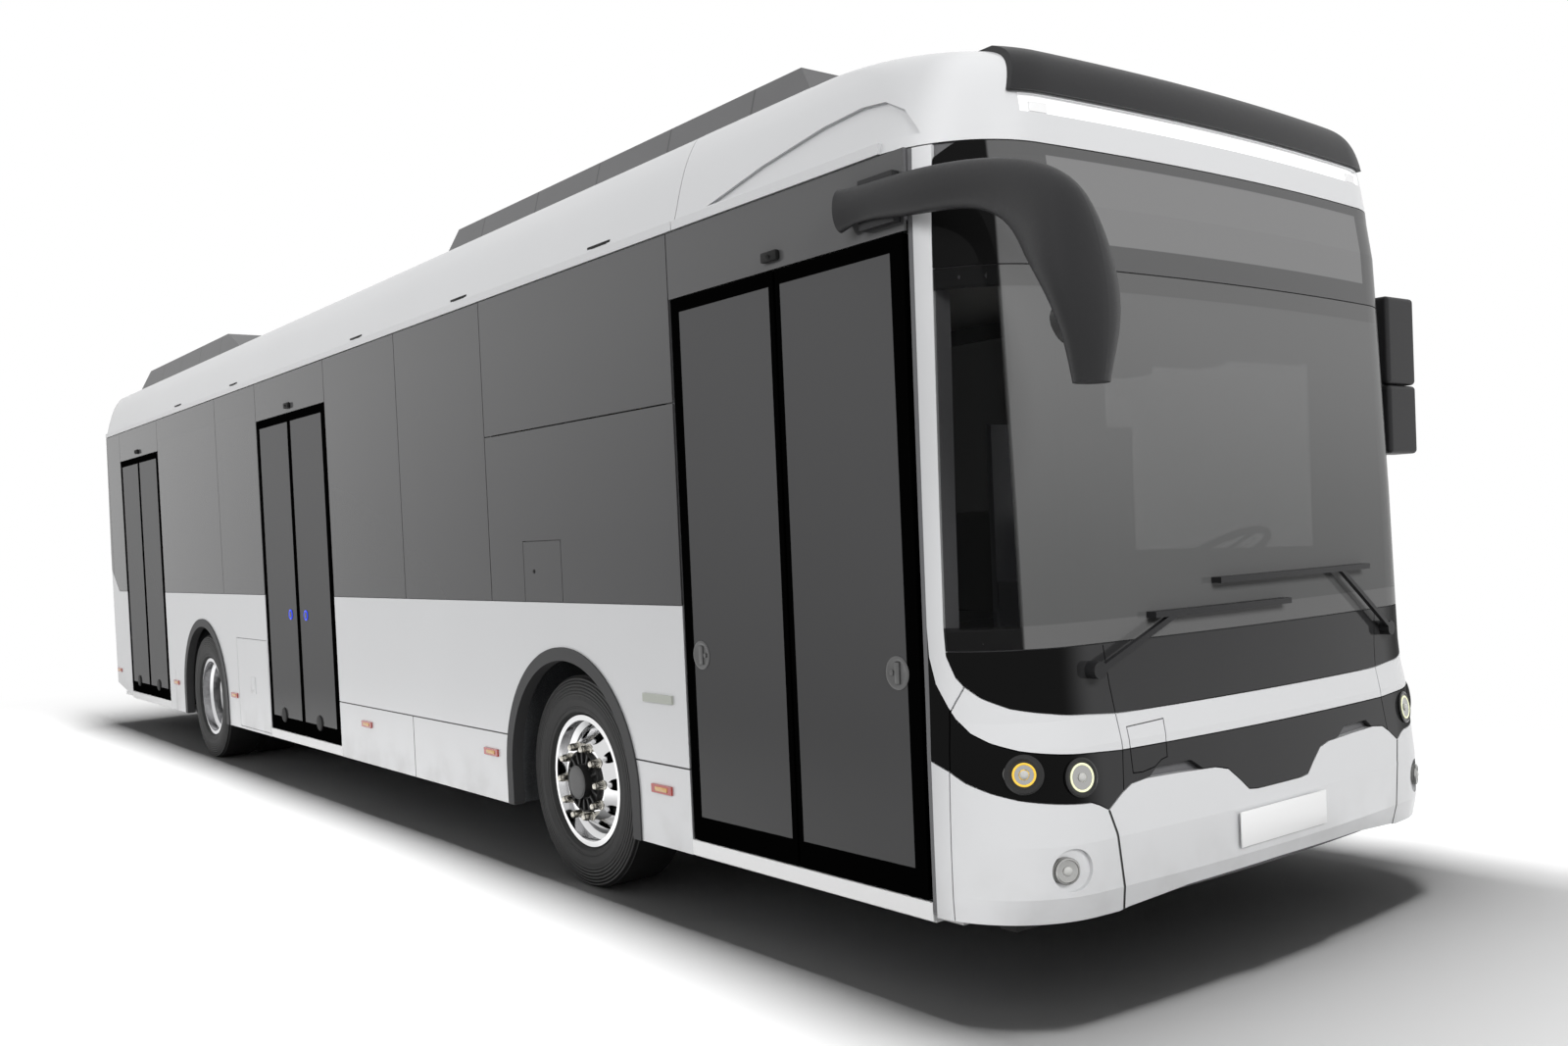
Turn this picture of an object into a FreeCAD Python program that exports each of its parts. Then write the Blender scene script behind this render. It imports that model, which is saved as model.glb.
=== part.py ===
import FreeCAD
import Part
import math
import os
import re
from FreeCAD import Placement, Rotation, Vector

# Low-floor city bus, 12 m, two axles, three double doors on its right side.
# Frame: X forwards, Y to the left, Z up, origin on the ground at the middle of the vehicle. Millimetres.

doc = FreeCAD.newDocument("CityBus")
sheet = doc.addObject("Spreadsheet::Sheet", "Sizes")

SIZES = [
    # Body outline
    ("front_reach", 5825.0),
    ("rear_reach", 6115.0),
    ("half_width", 1275.0),
    ("skirt_height", 305.0),
    ("belt_height", 1288.0),
    ("gutter_height", 2746.0),
    ("roof_height", 3135.0),
    ("front_lean", 135.0),
    ("dome_setback", 560.0),
    ("rear_lean", 60.0),
    ("rear_dome_setback", 120.0),
    ("cove_inset", 170.0),
    ("front_radius", 10000.0),
    ("corner_radius", 380.0),
    ("rear_radius", 9000.0),
    ("rear_corner_radius", 180.0),
    ("tail_side", 135.0),
    ("rear_upsweep", 152.0),
    ("rear_upsweep_run", 890.0),
    # Walls
    ("skin_thick", 8.0),
    ("wall_depth", 50.0),
    ("shell_thick", 40.0),
    ("seam_width", 4.0),
    ("floor_height", 330.0),
    ("floor_thick", 30.0),
    ("ceiling_height", 2640.0),
    ("ceiling_thick", 25.0),
    ("seat_gap", 0.3),
    # Axles and wheels
    ("front_overhang", 2760.0),
    ("rear_overhang", 3310.0),
    ("tyre_radius", 478.0),
    ("tyre_width", 276.0),
    ("tyre_wall", 18.0),
    ("rim_radius", 298.0),
    ("rim_width", 232.0),
    ("rim_wall", 12.0),
    ("well_radius", 262.0),
    ("front_wheel_track", 1089.0),
    ("rear_wheel_track", 1119.0),
    ("twin_spacing", 313.0),
    ("disc_offset", 120.0),
    ("disc_thick", 16.0),
    ("hub_radius", 140.0),
    ("hub_cap_radius", 75.0),
    ("hub_cap_reach", 45.0),
    ("hand_hole_radius", 27.0),
    ("hand_hole_ring", 205.0),
    ("arch_radius", 610.0),
    ("flare_width", 60.0),
    ("flare_proud", 8.0),
    ("arch_shift", 30.0),
    ("box_reach", 605.0),
    ("box_top", 1060.0),
    ("box_wall", 20.0),
    ("front_box_side", 560.0),
    ("rear_box_side", 480.0),
    ("kingpin_track", 950.0),
    ("kingpin_radius", 45.0),
    ("fork_plate", 34.0),
    ("fork_lug", 48.0),
    ("lug_rim", 6.0),
    ("boss_low", 352.0),
    ("boss_high", 600.0),
    ("beam_low", 165.0),
    ("beam_high", 265.0),
    ("beam_width", 110.0),
    ("cross_reach", 900.0),
    ("spindle_radius", 48.0),
    ("spindle_length", 30.0),
    ("fork_gap", 10.0),
    ("twin_hub_reach", 110.0),
    ("arm_reach_back", 200.0),
    ("arm_size", 36.0),
    ("rod_radius", 17.0),
    ("rod_height", 272.0),
    ("rod_pin_radius", 12.0),
    ("gear_house_radius", 150.0),
    ("spring_radius", 130.0),
    ("spring_track", 470.0),
    # Doors
    ("door_width", 1366.0),
    ("front_door_setback", 434.0),
    ("middle_door_ahead", 2261.0),
    ("rear_door_behind", 1809.0),
    ("door_foot", 372.0),
    ("door_head", 2482.0),
    ("door_clear_head", 2520.0),
    ("sill_low", 307.0),
    ("sill_high", 365.0),
    ("sill_thick", 12.0),
    ("leaf_thick", 40.0),
    ("hinge_gap", 17.0),
    ("closing_gap", 7.0),
    ("outer_stile", 44.0),
    ("inner_stile", 58.0),
    ("foot_rail", 95.0),
    ("head_rail", 55.0),
    ("pane_thick", 6.0),
    ("pillar_back", 45.0),
    ("pillar_depth", 96.0),
    ("pillar_radius", 20.0),
    ("pivot_reach", 314.0),
    ("pivot_depth", 39.0),
    ("pivot_radius", 9.0),
    ("swing_arm_thick", 16.0),
    ("swing_arm_width", 40.0),
    ("swing_arm_gap", 6.0),
    # Glass, front and rear
    ("bumper_low", 322.0),
    ("bumper_high", 655.0),
    ("front_belt_low", 826.0),
    ("screen_foot", 1166.0),
    ("screen_head", 2357.0),
    ("sign_head", 2742.0),
    ("strip_start_setback", 415.0),
    ("strip_end_setback", 357.0),
    ("jamb_setback", 431.0),
    ("trim_thick", 25.0),
    ("frame_depth", 60.0),
    ("glass_thick", 8.0),
    ("pane_seam", 6.0),
    ("window_sill", 1400.0),
    ("window_head", 2560.0),
    ("window_post", 60.0),
    ("dome_length", 1745.0),
    ("visor_low", 2905.0),
    ("visor_high", 3085.0),
    ("visor_thick", 16.0),
    ("visor_half_width", 1020.0),
    ("visor_top_half", 960.0),
    ("brow_low", 2840.0),
    ("brow_high", 2898.0),
    ("brow_half_width", 985.0),
    ("recess_depth", 12.0),
    ("drip_tall", 35.0),
    ("drip_proud", 8.0),
    ("tail_line_setback", 495.0),
    ("tail_line_run", 530.0),
    ("transom_height", 2083.0),
    ("front_seam_behind", 728.0),
    ("middle_seam_behind", 1802.0),
    ("rear_seam_ahead", 595.0),
    ("skirt_seam_height", 641.0),
    ("skirt_split_behind", 1790.0),
    ("tail_split_gap", 200.0),
    ("service_panel_gap", 18.0),
    ("service_panel_length", 705.0),
    ("service_panel_low", 322.0),
    ("service_panel_high", 972.0),
    ("rear_glass_foot", 1700.0),
    ("rear_flap_low", 600.0),
    ("rear_flap_high", 1045.0),
    ("rear_flap_half", 900.0),
    ("rear_flap_thick", 20.0),
    ("charge_flap_low", 1293.0),
    ("charge_flap_high", 1569.0),
    ("charge_flap_length", 361.0),
    ("charge_flap_setback", 10.0),
    ("socket_radius", 45.0),
    # Roof pods
    ("front_pod_behind", 1715.0),
    ("front_pod_ahead", 1585.0),
    ("front_pod_rise", 165.0),
    ("rear_pod_behind", 2895.0),
    ("rear_pod_ahead", 505.0),
    ("rear_pod_rise", 205.0),
    ("pod_half_width", 1000.0),
    ("pod_steep_run", 130.0),
    ("pod_tail_run", 350.0),
    ("pod_nose_run", 560.0),
    ("pod_side_slope", 45.0),
    # Lamps
    ("head_lamp_radius", 46.0),
    ("outer_lamp_height", 785.0),
    ("inner_lamp_side", 968.0),
    ("inner_lamp_height", 762.0),
    ("outer_lamp_side", 1136.0),
    ("fog_lamp_radius", 42.0),
    ("fog_lamp_side", 1045.0),
    ("fog_lamp_height", 484.0),
    ("fog_recess_radius", 66.0),
    ("fog_recess_side", 1022.0),
    ("marker_side", 910.0),
    ("marker_length", 70.0),
    ("reflector_length", 150.0),
    ("reflector_tall", 35.0),
    ("reflector_height", 540.0),
    ("turn_lamp_length", 220.0),
    ("turn_lamp_height", 910.0),
    ("turn_lamp_ahead", 754.0),
    ("side_lamp_proud", 8.0),
    ("front_reflector_ahead", 755.0),
    ("front_reflector_behind", 815.0),
    ("middle_reflector_behind", 2480.0),
    ("rear_reflector_ahead", 745.0),
    ("rear_reflector_behind", 895.0),
    ("tail_reflector_behind", 2965.0),
    ("tail_lamp_radius", 60.0),
    ("tail_lamp_side", 1000.0),
    # Mirrors and wipers
    ("mirror_clear", 39.0),
    ("mirror_root_setback", 695.0),
    ("mirror_run", 1015.0),
    ("mirror_root_height", 2595.0),
    ("mirror_drop", 690.0),
    ("mirror_tall", 120.0),
    ("mirror_wide", 115.0),
    ("mirror_pad_length", 165.0),
    ("mirror_pad_radius", 80.0),
    ("mirror_pad_thick", 30.0),
    ("left_mirror_setback", 265.0),
    ("left_mirror_depth", 120.0),
    ("left_mirror_gap", 25.0),
    ("left_mirror_width", 220.0),
    ("left_mirror_foot", 1780.0),
    ("left_mirror_split", 2068.0),
    ("left_mirror_head", 2440.0),
    ("left_mirror_round", 18.0),
    ("left_bracket_length", 210.0),
    ("left_bracket_tall", 100.0),
    ("wiper_side", 871.0),
    ("wiper_height", 1085.0),
    ("wiper_radius", 28.0),
    ("wiper_arm_reach", 375.0),
    ("wiper_arm_thick", 16.0),
    ("wiper_rise", 155.0),
    ("wiper_step", 94.0),
    ("right_blade_outboard", 110.0),
    ("right_blade_inboard", 636.0),
    ("left_blade_outboard", 222.0),
    ("left_blade_inboard", 762.0),
    ("wiper_blade", 20.0),
    ("wiper_clear", 3.0),
    ("wiper_proud", 40.0),
    # Inside
    ("dash_high", 1150.0),
    ("dash_low", 560.0),
    ("dash_side", 880.0),
    ("dash_depth", 130.0),
    ("console_depth", 380.0),
    ("console_setback", 225.0),
    ("column_radius", 35.0),
    ("column_length", 420.0),
    ("podium_height", 560.0),
    ("wheel_ring_radius", 225.0),
    ("wheel_ring_tube", 15.0),
    ("wheel_ring_setback", 655.0),
    ("wheel_ring_height", 1375.0),
    ("wheel_ring_tilt", 30.0),
    ("driver_side", 600.0),
    ("driver_setback", 1270.0),
    ("partition_setback", 1580.0),
    ("partition_high", 2000.0),
    ("partition_thick", 30.0),
    ("cab_side", 240.0),
    ("cab_door_width", 620.0),
    ("cab_door_high", 1300.0),
    ("seat_pitch", 800.0),
    ("front_row_behind", 1165.0),
    ("rear_row_ahead", 2105.0),
    ("tail_row_behind", 1295.0),
    ("inner_seat_side", 560.0),
    ("outer_seat_side", 1000.0),
    ("pole_side", 300.0),
    ("seat_width", 430.0),
    ("seat_pad", 60.0),
    ("seat_height", 450.0),
    ("seat_back_high", 640.0),
    ("seat_shell", 25.0),
    ("hinge_radius", 9.0),
    ("hinge_tall", 60.0),
    ("pole_radius", 17.0),
]

for row, (alias, value) in enumerate(SIZES, start=1):
    sheet.set(f"A{row}", alias.replace("_", " "))
    sheet.set(f"B{row}", str(value))
    sheet.setAlias(f"B{row}", alias)
doc.recompute()


class Dimensions:
    """The sheet's values by name."""


D = Dimensions()
for alias, _ in SIZES:
    setattr(D, alias, float(sheet.get(alias)))

FRONT_AXLE = D.front_reach - D.front_overhang
REAR_AXLE = D.rear_overhang - D.rear_reach
FRONT_AXLE_TEXT = "(front_reach - front_overhang)"
REAR_AXLE_TEXT = "(rear_overhang - rear_reach)"
STRIP_START = D.front_reach - D.strip_start_setback
STRIP_END = D.front_reach - D.strip_end_setback
JAMB_START = D.front_reach - D.jamb_setback
DOME_START = D.front_reach - D.dome_length
FLAP_FRONT = FRONT_AXLE - D.charge_flap_setback
FLAP_REAR = FLAP_FRONT - D.charge_flap_length
X_AXIS = Vector(1, 0, 0)
Y_AXIS = Vector(0, 1, 0)
Z_AXIS = Vector(0, 0, 1)
pieces = {}


def bound(text):
    """Expression text with every size name pointed at the sheet."""
    return re.sub(r"[a-z]+(?:_[a-z]+)+", lambda word: "Sizes." + word.group(0), str(text))


def block(name, along, across, upright):
    """Box between pairs of expressions, low and high, along X, Y and Z."""
    box = doc.addObject("Part::Box", name)
    for side, corner, (low, high) in zip(("Length", "Width", "Height"), "xyz", (along, across, upright)):
        box.setExpression(side, bound(f"({high}) - ({low})"))
        box.setExpression(f"Placement.Base.{corner}", bound(low))
    return box


def rod(name, radius, length, start, axis):
    """Cylinder from a start point of expressions along an axis."""
    bar = doc.addObject("Part::Cylinder", name)
    bar.setExpression("Radius", bound(radius))
    bar.setExpression("Height", bound(length))
    bar.Placement = Placement(Vector(), Rotation(Z_AXIS, axis))
    for corner, text in zip("xyz", start):
        bar.setExpression(f"Placement.Base.{corner}", bound(text))
    return bar


def fuse(name, parts):
    whole = doc.addObject("Part::MultiFuse", name)
    whole.Shapes = parts
    return whole


def cut(name, base, tool):
    rest = doc.addObject("Part::Cut", name)
    rest.Base = base
    rest.Tool = tool
    return rest


def group(name, parts):
    """Solids that share a node and don't touch."""
    bundle = doc.addObject("Part::Compound", name)
    bundle.Links = parts
    return bundle


def mirrored(name, source):
    """The same piece on the other side of the vehicle."""
    other = doc.addObject("Part::Mirroring", name)
    other.Source = source
    other.Normal = Y_AXIS
    return other


def feature(name, shape):
    item = doc.addObject("Part::Feature", name)
    item.Shape = shape
    return item


def piece(node, item):
    """Register a finished sub-part under its node name."""
    item.Label = node
    pieces[node] = item
    return item


def solid_box(low, high):
    return Part.makeBox(high[0] - low[0], high[1] - low[1], high[2] - low[2], Vector(*low))


def prism(points, direction):
    """Closed outline pushed along a direction."""
    wire = Part.makePolygon([Vector(*point) for point in points] + [Vector(*points[0])])
    return Part.Face(wire).extrude(direction)


def seam_ring(points, direction):
    """Thin seam along the inside of a closed flat outline, pushed along a direction."""
    face = Part.Face(Part.makePolygon([Vector(*point) for point in points] + [Vector(*points[0])]))
    return face.cut(face.makeOffset2D(-D.seam_width)).extrude(direction)


def both_sides(shape):
    return Part.Compound([shape, shape.mirror(Vector(), Y_AXIS)])


# Plan outlines of the two ends.
# An end is a shallow arc that meets the sides through two corner arcs.
# Its set-back grows with height, and every wall follows the same outline at its own depth.
NOSE_HEIGHT_SHARES = (0.0, 0.117, 0.146, 0.204, 0.288, 0.31, 0.342, 0.375, 0.59, 0.878, 0.932, 0.983, 1.0)
NOSE_LEAN_SHARES = (0.16, 0.12, 0.0, 0.0, 0.18, 0.22, 0.36, 0.42, 0.54, 0.77, 0.82, 0.97, 1.0)
TAIL_HEIGHT_SHARES = (0.0, 0.6, 1.0)
TAIL_LEAN_SHARES = (0.0, 0.0, 1.0)
DOME_RISE_SHARES = (0.0, 0.09, 0.306, 0.545, 0.733, 0.82, 0.902, 0.959, 1.0)
DOME_SETBACK_SHARES = (0.0, 0.002, 0.01, 0.035, 0.11, 0.214, 0.404, 0.655, 1.0)
COVE_INSET_SHARES = (0.0, 0.06, 0.19, 0.35, 0.514, 0.616, 0.724, 0.84, 1.0)
TEARDROP_SHARES = ((0.874, 0.126), (0.69, 0.319), (0.497, 0.46), (0.383, 0.494), (0.315, 0.458),
                   (0.264, 0.334),
                   (0.233, 0.154), (0.226, 0.1))


def between(value, knots, results):
    """Straight-line reading of a table."""
    for low, high, first, last in zip(knots, knots[1:], results, results[1:]):
        if value <= high:
            return first + (last - first) * (value - low) / (high - low)
    return results[-1]


def nose_setback(height):
    return D.front_lean * between(height / D.gutter_height, NOSE_HEIGHT_SHARES, NOSE_LEAN_SHARES)


def tail_setback(height):
    return D.rear_lean * between(height / D.gutter_height, TAIL_HEIGHT_SHARES, TAIL_LEAN_SHARES)


def end_arcs(end, reach, half, depth, height):
    """Corner arc, middle arc and corner arc of one end, from -Y to +Y, with their end points."""
    big = D.front_radius if end > 0 else D.rear_radius
    small = D.corner_radius if end > 0 else D.rear_corner_radius
    big_middle = reach - big
    small_middle = big_middle + math.sqrt((big - small) ** 2 - (half - small) ** 2)
    turn = math.asin((half - small) / (big - small))

    def on_big(angle):
        radius = big - depth
        return Vector(end * (big_middle + radius * math.cos(angle)), radius * math.sin(angle), height)

    def on_small(side, angle):
        radius = small - depth
        return Vector(end * (small_middle + radius * math.cos(angle)),
                      side * (half - small + radius * math.sin(angle)), height)

    middle_turn = (turn + math.pi / 2) / 2
    side_point = [on_small(side, math.pi / 2) for side in (-1, 1)]
    arcs = [
        Part.Arc(side_point[0], on_small(-1, middle_turn), on_big(-turn)).toShape(),
        Part.Arc(on_big(-turn), on_big(0), on_big(turn)).toShape(),
        Part.Arc(on_big(turn), on_small(1, middle_turn), side_point[1]).toShape(),
    ]
    return arcs, side_point


def end_wire(end, height, outer_depth, inner_depth):
    """Closed U-shaped outline of an end wall between two depths."""
    setback = nose_setback(height) if end > 0 else tail_setback(height)
    reach = (D.front_reach if end > 0 else D.rear_reach) - setback
    outer, outer_ends = end_arcs(end, reach, D.half_width, outer_depth, height)
    inner, inner_ends = end_arcs(end, reach, D.half_width, inner_depth, height)
    edge = end * end_root(end)
    corners = [Vector(edge, side * (D.half_width - depth), height)
               for side in (-1, 1) for depth in (outer_depth, inner_depth)]
    edges = [Part.makeLine(corners[0], outer_ends[0])] + outer
    edges += [Part.makeLine(outer_ends[1], corners[2]), Part.makeLine(corners[2], corners[3])]
    edges += [Part.makeLine(corners[3], inner_ends[1])] + inner
    edges += [Part.makeLine(inner_ends[0], corners[1]), Part.makeLine(corners[1], corners[0])]
    return Part.Wire(Part.sortEdges(edges)[0])


def end_root(end):
    """Reach along X at which the straight sides are sure to have begun."""
    reach, small = (D.front_reach, D.corner_radius) if end > 0 else (D.rear_reach, D.rear_corner_radius)
    return reach - D.front_lean * 2 - 2 * small


def end_band(end, start, low, high, outer_depth, inner_depth):
    """Wall round one end, from a start along X and between two heights, following the lean."""
    knots = NOSE_HEIGHT_SHARES if end > 0 else TAIL_HEIGHT_SHARES
    heights = [low] + [share * D.gutter_height for share in knots
                       if low < share * D.gutter_height < high] + [high]
    wires = [end_wire(end, height, outer_depth, inner_depth) for height in heights]
    band = Part.makeLoft(wires, True, True)
    far = D.front_reach + D.rear_reach
    edges = sorted((end * start, end * far))
    return band.common(solid_box((edges[0], -far, low - far), (edges[1], far, high + far)))


def hull_wire(height, front, rear, half, depth):
    """Whole plan outline of the vehicle at one height."""
    front_arcs, front_ends = end_arcs(1, front, half, depth, height)
    rear_arcs, rear_ends = end_arcs(-1, rear, half, depth, height)
    edges = front_arcs + rear_arcs
    edges += [Part.makeLine(front_ends[side], rear_ends[side]) for side in (0, 1)]
    return Part.Wire(Part.sortEdges(edges)[0])


def upper_hull(depth):
    """Everything above the gutter, lofted up to the roof, at a depth under the outer face."""
    rise = D.roof_height - D.gutter_height
    wires = []
    for share, back, inset in zip(DOME_RISE_SHARES, DOME_SETBACK_SHARES, COVE_INSET_SHARES):
        wires.append(hull_wire(
            D.gutter_height + (rise - depth) * share,
            D.front_reach - D.front_lean - D.dome_setback * back,
            D.rear_reach - D.rear_lean - D.rear_dome_setback * back,
            D.half_width - D.cove_inset * inset,
            depth))
    return Part.makeLoft(wires, True, False)


def arch_tool(centre, radius, side_low, side_high):
    """Wheel arch opening: a round head over straight legs."""
    width = side_high - side_low
    head = Part.makeCylinder(radius, width, Vector(centre, side_low, D.tyre_radius), Y_AXIS)
    legs = solid_box((centre - radius, side_low, 0), (centre + radius, side_high, D.tyre_radius))
    return head.fuse(legs).removeSplitter()


ARCHES = [axle - D.arch_shift for axle in (FRONT_AXLE, REAR_AXLE)]
FRONT_DOOR = D.front_reach - D.front_door_setback - D.door_width / 2
MIDDLE_DOOR = REAR_AXLE + D.middle_door_ahead
REAR_DOOR = REAR_AXLE - D.rear_door_behind
DOORS = {"front": FRONT_DOOR, "middle": MIDDLE_DOOR, "rear": REAR_DOOR}
SIDE_FRONT = D.front_reach - D.front_door_setback
SIDE_REAR = -(D.rear_reach - D.rear_corner_radius - D.tail_side)
INSIDE = D.half_width - D.wall_depth
BEHIND_SKIN = D.half_width - D.skin_thick


def door_edges(centre):
    return centre - D.door_width / 2, centre + D.door_width / 2


def upsweep_tool():
    """Wedge that lifts the underside towards the tail."""
    start = -D.rear_reach + D.rear_upsweep_run
    return prism([(start, -D.half_width * 2, D.skirt_height),
                  (start - 2 * D.rear_upsweep_run, -D.half_width * 2, D.skirt_height + D.rear_upsweep * 2),
                  (start - 2 * D.rear_upsweep_run, -D.half_width * 2, 0),
                  (start, -D.half_width * 2, 0)], Y_AXIS * D.half_width * 4)


def build_floor():
    """Floor plate cut round the wheel boxes, the driver's podium on it and the door sills on its edge."""
    nose = D.front_reach - D.front_lean - D.frame_depth
    level = ("floor_height - floor_thick", "floor_height")
    plates = [block("deck_main", (SIDE_REAR, SIDE_FRONT), ("wall_depth - half_width",
                                                           "half_width - wall_depth"), level),
              block("deck_toe", (SIDE_FRONT, nose), ("door_width / 2 - half_width",
                                                     "half_width - door_width / 2"),
                    level),
              block("deck_corner", (SIDE_FRONT, f"{SIDE_FRONT} + pillar_back + 2 * pillar_radius"),
                    ("wall_depth - half_width", "half_width - wall_depth"), level)]
    sills = []
    for name, centre in DOORS.items():
        rear, front = door_edges(centre)
        along = (f"{rear} + seat_gap", f"{front} - seat_gap")
        plates.append(block(f"step_{name}", along, ("sill_thick - half_width", "wall_depth - half_width"),
                            level))
        sills.append(block(f"sill_{name}", along, ("-half_width", "sill_thick - half_width - seat_gap"),
                           ("sill_low", "sill_high")))
    tools = []
    for name, centre, side in (("front", ARCHES[0], "front_box_side"), ("rear", ARCHES[1], "rear_box_side")):
        for hand, sign in (("right", -1), ("left", 1)):
            edge = ("-half_width", f"box_wall - {side}") if sign < 0 else (f"{side} - box_wall", "half_width")
            tools.append(block(f"deck_gap_{name}_{hand}",
                               (f"{centre} - box_reach - box_wall", f"{centre} + box_reach + box_wall"),
                               edge, ("0", "box_top")))
    podium = block("deck_podium", ("front_reach - partition_setback + partition_thick + seam_width * 2",
                                   "front_reach - front_door_setback - wall_depth"),
                   ("cab_side + partition_thick + seam_width * 3", "half_width - wall_depth"),
                   ("floor_height + seat_gap", "podium_height"))
    gaps = group("floor_gaps", tools)
    plate = cut("floor_plate", fuse("floor_whole", plates), gaps)
    piece("floor_deck", group("floor_set", [plate, cut("podium_cut", podium, gaps)] + sills))


CROSS_PITCH_SHARE = 0.8


def build_chassis():
    """Rails and crossmembers under the floor, with gaps at the axles."""
    top = "floor_height - floor_thick"
    low = "floor_height - floor_thick - beam_width"
    ends = [SIDE_REAR, REAR_AXLE - D.box_reach, REAR_AXLE + D.box_reach,
            FRONT_AXLE - D.box_reach, FRONT_AXLE + D.box_reach, SIDE_FRONT]
    frames = []
    for index, (rear, front) in enumerate(zip(ends[0::2], ends[1::2])):
        rails = []
        for sign in (-1, 1):
            middle = sign * D.spring_track
            rails.append(block(f"rail_{index}_{'left' if sign > 0 else 'right'}", (rear, front),
                               (f"{middle} - arm_size", f"{middle} + arm_size"), (low, top)))
        count = max(2, round((front - rear) / (D.half_width * CROSS_PITCH_SHARE)))
        for step in range(count + 1):
            start = rear + (front - rear - 2 * D.arm_size) * step / count
            rails.append(block(f"cross_{index}_{step}", (start, f"{start} + 2 * arm_size"),
                               ("-cross_reach", "cross_reach"), (low, top)))
        frames.append(fuse(f"frame_part_{index}", rails))
    piece("chassis_frame", group("chassis", frames))


def build_wheel_boxes():
    boxes = []
    for name, centre, side in (("front", ARCHES[0], "front_box_side"), ("rear", ARCHES[1], "rear_box_side")):
        outer = block(f"box_outer_{name}", (f"{centre} - box_reach - box_wall",
                                            f"{centre} + box_reach + box_wall"),
                      (f"{side} - box_wall", "half_width - wall_depth"),
                      ("floor_height - floor_thick", "box_top + box_wall"))
        inner = block(f"box_inner_{name}", (f"{centre} - box_reach", f"{centre} + box_reach"),
                      (side, "half_width"), ("0", "box_top"))
        left = cut(f"box_{name}_left", outer, inner)
        boxes += [left, mirrored(f"box_{name}_right", left)]
    piece("wheel_boxes", group("boxes", boxes))


def evenly(low, high, count):
    """Inner steps of a run that is split into equal parts."""
    return [low + (high - low) * step / count for step in range(1, count)]


REAR_SEAM = REAR_AXLE + D.rear_seam_ahead
MIDDLE_SEAM = FRONT_AXLE - D.middle_seam_behind
FRONT_SEAM = FRONT_AXLE - D.front_seam_behind
LEFT_PANES = 3
RIGHT_SEAMS = [SIDE_REAR, *door_edges(REAR_DOOR), REAR_SEAM, *door_edges(MIDDLE_DOOR), MIDDLE_SEAM,
               FRONT_SEAM,
               door_edges(FRONT_DOOR)[0], SIDE_FRONT]
LEFT_SEAMS = [SIDE_REAR, *evenly(SIDE_REAR, REAR_SEAM, LEFT_PANES), REAR_SEAM,
              *evenly(REAR_SEAM, MIDDLE_SEAM, LEFT_PANES), MIDDLE_SEAM, FRONT_SEAM, door_edges(FRONT_DOOR)[0],
              SIDE_FRONT]


def side_window_tools(seams, skipped, low_side, high_side):
    tools = []
    for index, (rear, front) in enumerate(zip(seams, seams[1:])):
        if index in skipped:
            continue
        foot = D.window_sill
        if rear < FLAP_FRONT < front:
            foot = D.charge_flap_high + D.window_post
        tools.append(solid_box((rear + D.window_post, low_side, foot),
                               (front - D.window_post, high_side, D.window_head)))
    return tools


def door_tools(low_side, high_side, foot, head):
    return [solid_box((door_edges(centre)[0], low_side, foot), (door_edges(centre)[1], high_side, head))
            for centre in DOORS.values()]


def build_side_walls():
    """Framed side walls with window, door and arch openings and the bore of the charging socket."""
    over = D.seam_width
    for hand, sign, seams, skipped in (("right", -1, RIGHT_SEAMS, (0, 1, 4, 8)),
                                       ("left", 1, LEFT_SEAMS, (0,))):
        low, high = sorted((sign * INSIDE, sign * BEHIND_SKIN))
        wall = solid_box((SIDE_REAR, low, D.skirt_height), (SIDE_FRONT, high, D.gutter_height))
        tools = side_window_tools(seams, skipped, low - over, high + over)
        tools += [arch_tool(centre, D.arch_radius, low - over, high + over) for centre in ARCHES]
        if sign < 0:
            tools += door_tools(low - over, high + over, 0, D.door_clear_head)
            socket = Vector((FLAP_REAR + FLAP_FRONT) / 2, low - over,
                            (D.charge_flap_low + D.charge_flap_high) / 2)
            tools.append(Part.makeCylinder(D.socket_radius, D.wall_depth, socket, Y_AXIS))
        wall = wall.cut(tools + [upsweep_tool()])
        piece(f"side_wall_{hand}", feature(f"wall_{hand}", wall.removeSplitter()))


def tail_line(lift):
    """Everything under the slanting edge where the tail's panels meet its glass."""
    start = D.tail_line_setback - D.rear_reach
    far = -2 * D.rear_reach
    return across_prism([(start, 0), (start, D.belt_height + lift),
                         (start - D.tail_line_run, D.rear_glass_foot + lift), (far, D.rear_glass_foot + lift),
                         (far, 0)])


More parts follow.
